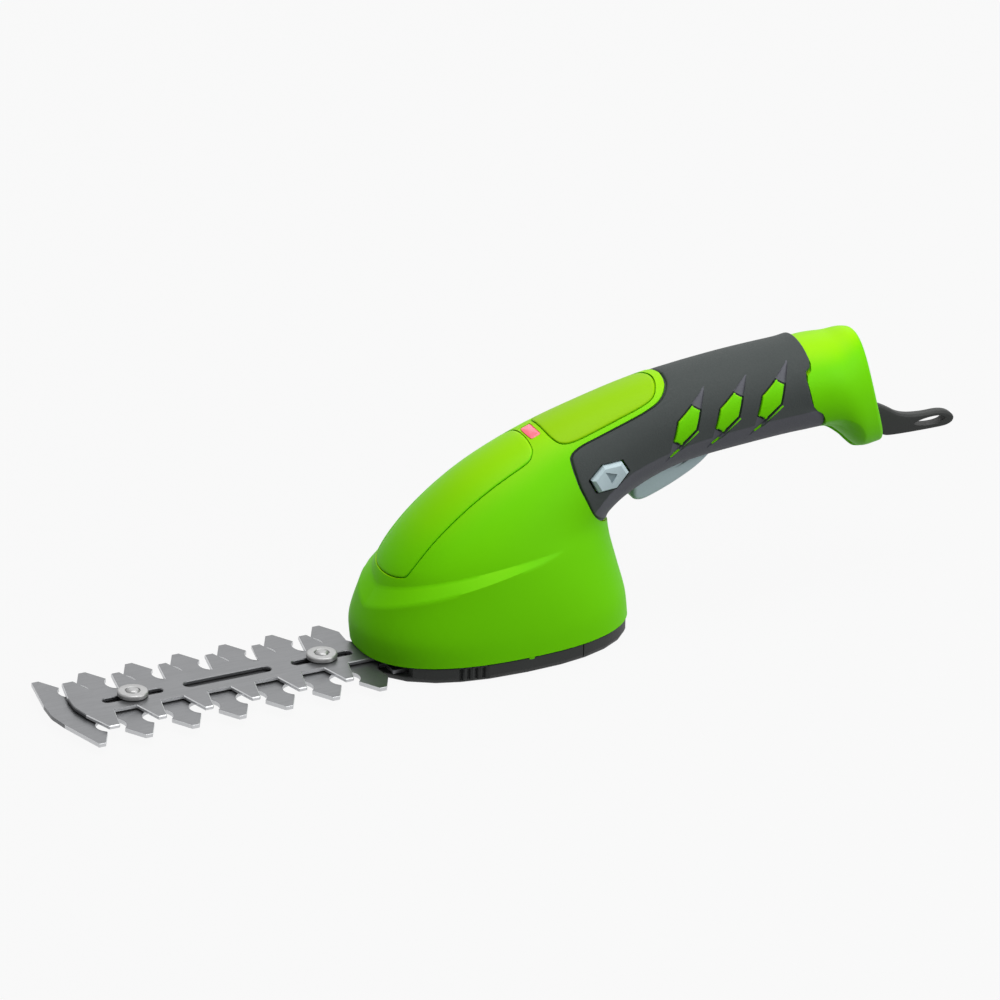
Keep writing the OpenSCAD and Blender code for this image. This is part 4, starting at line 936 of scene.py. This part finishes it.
for node, name, carrier in (("fixed_blade", "fixedBlade", "housing"),
                            ("moving_blade", "movingBlade", "moving_blade")):
    blade = finishPiece(bevelled(cadCopy(name, node)), carrier, "blade_steel", [node], 12)
    # painted highlight on the outer tooth walls
    setBand(blade.data, np.array([
        abs(p.normal.z) < bladeBevelAndHighlight["lean"] and abs(p.center.y) > bladeBevelAndHighlight["offMiddle"] * mm
        and p.center.x < bladeBevelAndHighlight["ahead"] * mm for p in blade.data.polygons]))

# hanging loop: a drooping tongue with a narrow eye that widens to the rear
tongue = {"corners": [(151, 54.4), (151, 64.6), (155.6, 64.6), (160.5, 62.0), (166, 58.0), (174, 56.6),
                      (183, 56.8), (187.9, 53.6), (186, 50.2), (178, 50.1), (164, 50.4), (158.5, 51.0),
                      (156.4, 54.4)],
          "half": 2.1, "radius": 1.0, "steps": 5}
tongueEye = {"at": (177.4, 53.5), "size": (6.2, 1.6), "widen": 0.25, "reach": 6}
cos, sin = circle(40)
ring = np.stack([cos, sin * (1 + tongueEye["widen"] * cos)], 1) * tongueEye["size"] + tongueEye["at"]
eye = sidePrism("eye", ring, -tongueEye["reach"], tongueEye["reach"])
loop = carve(asObject("hangingLoop", roundedBar("hangingLoop", **tongue)), [eye])
finishPiece(loop, "housing", "black_plastic", ["hanging_loop"], 40)


# copies of one piece on the points of a mesh
def placeTree():
    tree = bpy.data.node_groups.new("placeCopies", "GeometryNodeTree")
    inputs = {"Geometry": "Geometry", "Piece": "Object", "Size": "Float", "Finish": "Material"}
    for label, kind in inputs.items():
        tree.interface.new_socket(label, in_out="INPUT", socket_type="NodeSocket" + kind)
    tree.interface.new_socket("Geometry", in_out="OUTPUT", socket_type="NodeSocketGeometry")
    given = addNode(tree, "NodeGroupInput").outputs
    shape = addNode(tree, "GeometryNodeObjectInfo", {"Object": given["Piece"]})
    copies = addNode(tree, "GeometryNodeInstanceOnPoints", {
        "Points": given["Geometry"], "Instance": shape.outputs["Geometry"], "Scale": given["Size"]})
    plain = addNode(tree, "GeometryNodeRealizeInstances", {"Geometry": copies.outputs[0]})
    worn = addNode(tree, "GeometryNodeSetMaterial",
                   {"Geometry": plain.outputs[0], "Material": given["Finish"]})
    addNode(tree, "NodeGroupOutput", {"Geometry": worn.outputs[0]})
    return tree


copyTree = placeTree()


def placed(name, spots, piece, slot, size=1.0):
    mesh = bpy.data.meshes.new(name)
    mesh.from_pydata([tuple(np.multiply(s, mm)) for s in spots], [], [])
    host = asObject(name, mesh)
    grow = host.modifiers.new("copies", "NODES")
    grow.node_group = copyTree
    values = {"Piece": piece, "Size": size, "Finish": materials[slot]}
    for item in copyTree.interface.items_tree:
        if item.in_out == "INPUT" and item.name in values:
            grow[item.identifier] = values[item.name]
    settle(host)
    bpy.data.objects.remove(piece)
    return host


# a turned piece about Z or Y from radius and height pairs
def turned(name, profile, axis="Z", count=48):
    cos, sin = circle(count)
    rows = []
    for r, h in profile:
        ring = [r * cos, r * sin, np.full(count, h)]
        rows.append(np.stack(ring if axis == "Z" else [ring[0], ring[2], -ring[1]], 1))
    return asObject(name, ringMesh(name, rows, "fan"))


# blade rivets: a flat washer with a rounded rim and a low dome in its middle
rivet = {"spots": [(-142, 0, 0), (-66, 0, 0)],
         "profile": [(0.2, 1.4), (3.5, 1.4), (3.7, 1.6), (3.7, 2.7), (1.95, 2.7), (1.95, 6.27), (5.4, 6.27),
                     (5.7, 6.5), (5.7, 7.6), (5.62, 7.92), (5.4, 8.14), (5.1, 8.22), (2.95, 8.22), (2.8, 8.1),
                     (2.7, 7.75), (2.5, 7.75), (2.4, 8.2), (2.1, 8.5), (1.6, 8.7), (0.9, 8.84), (0.2, 8.87)]}
rivets = placed("bladeRivets", rivet["spots"], turned("rivet", rivet["profile"]), "bright_steel")
finishPiece(rivets, "housing", "bright_steel", ["blade_washers", "blade_bolts"], 35)

# screws of the shell: pan heads with a cross recess, on the right side; slot is width, length and depth
screw = {"profile": [(0.2, -2.8), (1.2, -2.8), (1.45, -2), (1.45, 6.0), (2.7, 6.0), (2.75, 6.3), (2.6, 7.2),
                     (2.1, 7.7), (1.2, 7.95), (0.2, 8.0)],
         "top": 8, "slot": (0.6, 3.0, 1.1), "slotRound": 0.1}
width, reach, deep = screw["slot"]
pan = carve(turned("panScrew", screw["profile"], "Y", 36), [
    roundedBox("slot", (-x / 2, screw["top"] - deep, -z / 2), (x / 2, screw["top"] + 1, z / 2),
               screw["slotRound"], 3) for x, z in ((reach, width), (width, reach))])
screwSpots = [(x, 0, z) for x, z in shellScrews["spots"] + [shellScrews["gripSpot"]]]
screws = placed("shellScrews", screwSpots, pan, "bright_steel")
finishPiece(screws, "housing", "bright_steel", ["housing_screws"], 35)

# base: grip grooves on both sides of the blade cover
grooves = {"first": (-24, 30.2), "step": (2.8, 0.5), "count": 4, "width": 1.4, "deep": 1.6, "reach": 3,
           "low": 1.0, "high": 5.5, "radius": 0.3}
tools = []
for side in (-1, 1):
    for k in range(grooves["count"]):
        x, y = (grooves["first"][i] + k * grooves["step"][i] for i in (0, 1))
        near, far = sorted((side * (y - grooves["deep"]), side * (y + grooves["reach"])))
        tools.append(roundedBox("groove", (x - grooves["width"] / 2, near, grooves["low"]),
                                (x + grooves["width"] / 2, far, grooves["high"]), grooves["radius"], 4))
finishPiece(cadCopy("baseFrame", "base_frame"), "housing", "black_plastic", ["base_frame"], 32)
cover = carve(cadCopy("bladeCover", "blade_cover"), [joined("grooves", tools)])
finishPiece(cover, "housing", "black_plastic", ["blade_cover"], 32)
print("pieces made")

# soft studio light in metres and watts: a large one overhead, one from the right front, a fill behind
lights = {"overhead": {"at": (0.1, -0.15, 1.25), "aim": (0, 0, 0.04), "size": 1.0, "power": 13},
          "rightFront": {"at": (0.85, -0.95, 0.7), "aim": (0, 0, 0.04), "size": 0.8, "power": 9},
          "behind": {"at": (0.5, 0.9, 0.8), "aim": (0, 0, 0.05), "size": 1.0, "power": 3}}
for name, lamp in lights.items():
    data = bpy.data.lights.new(name, "AREA")
    data.size = lamp["size"]
    data.energy = lamp["power"]
    light = bpy.data.objects.new(name, data)
    light.location = lamp["at"]
    light.rotation_euler = (Vector(lamp["at"]) - Vector(lamp["aim"])).to_track_quat("Z", "Y").to_euler()
    scene.collection.objects.link(light)


# one where the camera, a mirror or a clear piece looks at the surface
def lookedAt(tree):
    path = addNode(tree, "ShaderNodeLightPath").outputs
    seen = path["Is Camera Ray"]
    for ray in ("Is Glossy Ray", "Is Transmission Ray"):
        seen = addNode(tree, "ShaderNodeMath", {0: seen, 1: path[ray]}, operation="MAXIMUM").outputs[0]
    return seen


# backdrop as it is seen, and the weaker light that it gives
backdrop = {"seen": "#f8f8f8", "light": "#f4f6f8", "strength": 0.2}
world = bpy.data.worlds.new("studio")
world.use_nodes = True
scene.world = world
tree = world.node_tree
tree.nodes.clear()
plain = addNode(tree, "ShaderNodeBackground", {"Color": linear(backdrop["seen"]), "Strength": 1.0})
ambient = addNode(tree, "ShaderNodeBackground",
                  {"Color": linear(backdrop["light"]), "Strength": backdrop["strength"]})
either = addNode(tree, "ShaderNodeMixShader", {0: lookedAt(tree), 1: ambient.outputs[0], 2: plain.outputs[0]})
addNode(tree, "ShaderNodeOutputWorld", {"Surface": either.outputs[0]})

# pale floor in metres: white to the camera, with the object's soft shadow kept
paperFloor = {"half": 6.0, "drop": 0.0003, "colour": "#808080", "white": 0.93}
half, drop = paperFloor["half"], paperFloor["drop"]
corners = [(x * half, y * half, -drop) for x, y in ((-1, -1), (1, -1), (1, 1), (-1, 1))]
mesh = bpy.data.meshes.new("floor")
mesh.from_pydata(corners, [], [(0, 1, 2, 3)])
floor = asObject("floor", mesh)
paper = bpy.data.materials.new("palePaper")
paper.use_nodes = True
tree = paper.node_tree
tree.nodes.clear()
matt = addNode(tree, "ShaderNodeBsdfDiffuse", {"Color": linear(paperFloor["colour"])})
white = addNode(tree, "ShaderNodeEmission", {"Color": linear("#ffffff"), "Strength": 1.0})
share = addNode(tree, "ShaderNodeMath", {0: lookedAt(tree), 1: paperFloor["white"]}, operation="MULTIPLY")
either = addNode(tree, "ShaderNodeMixShader", {0: share.outputs[0], 1: matt.outputs[0], 2: white.outputs[0]})
addNode(tree, "ShaderNodeOutputMaterial", {"Surface": either.outputs[0]})
mesh.materials.append(paper)
print("light and floor set")
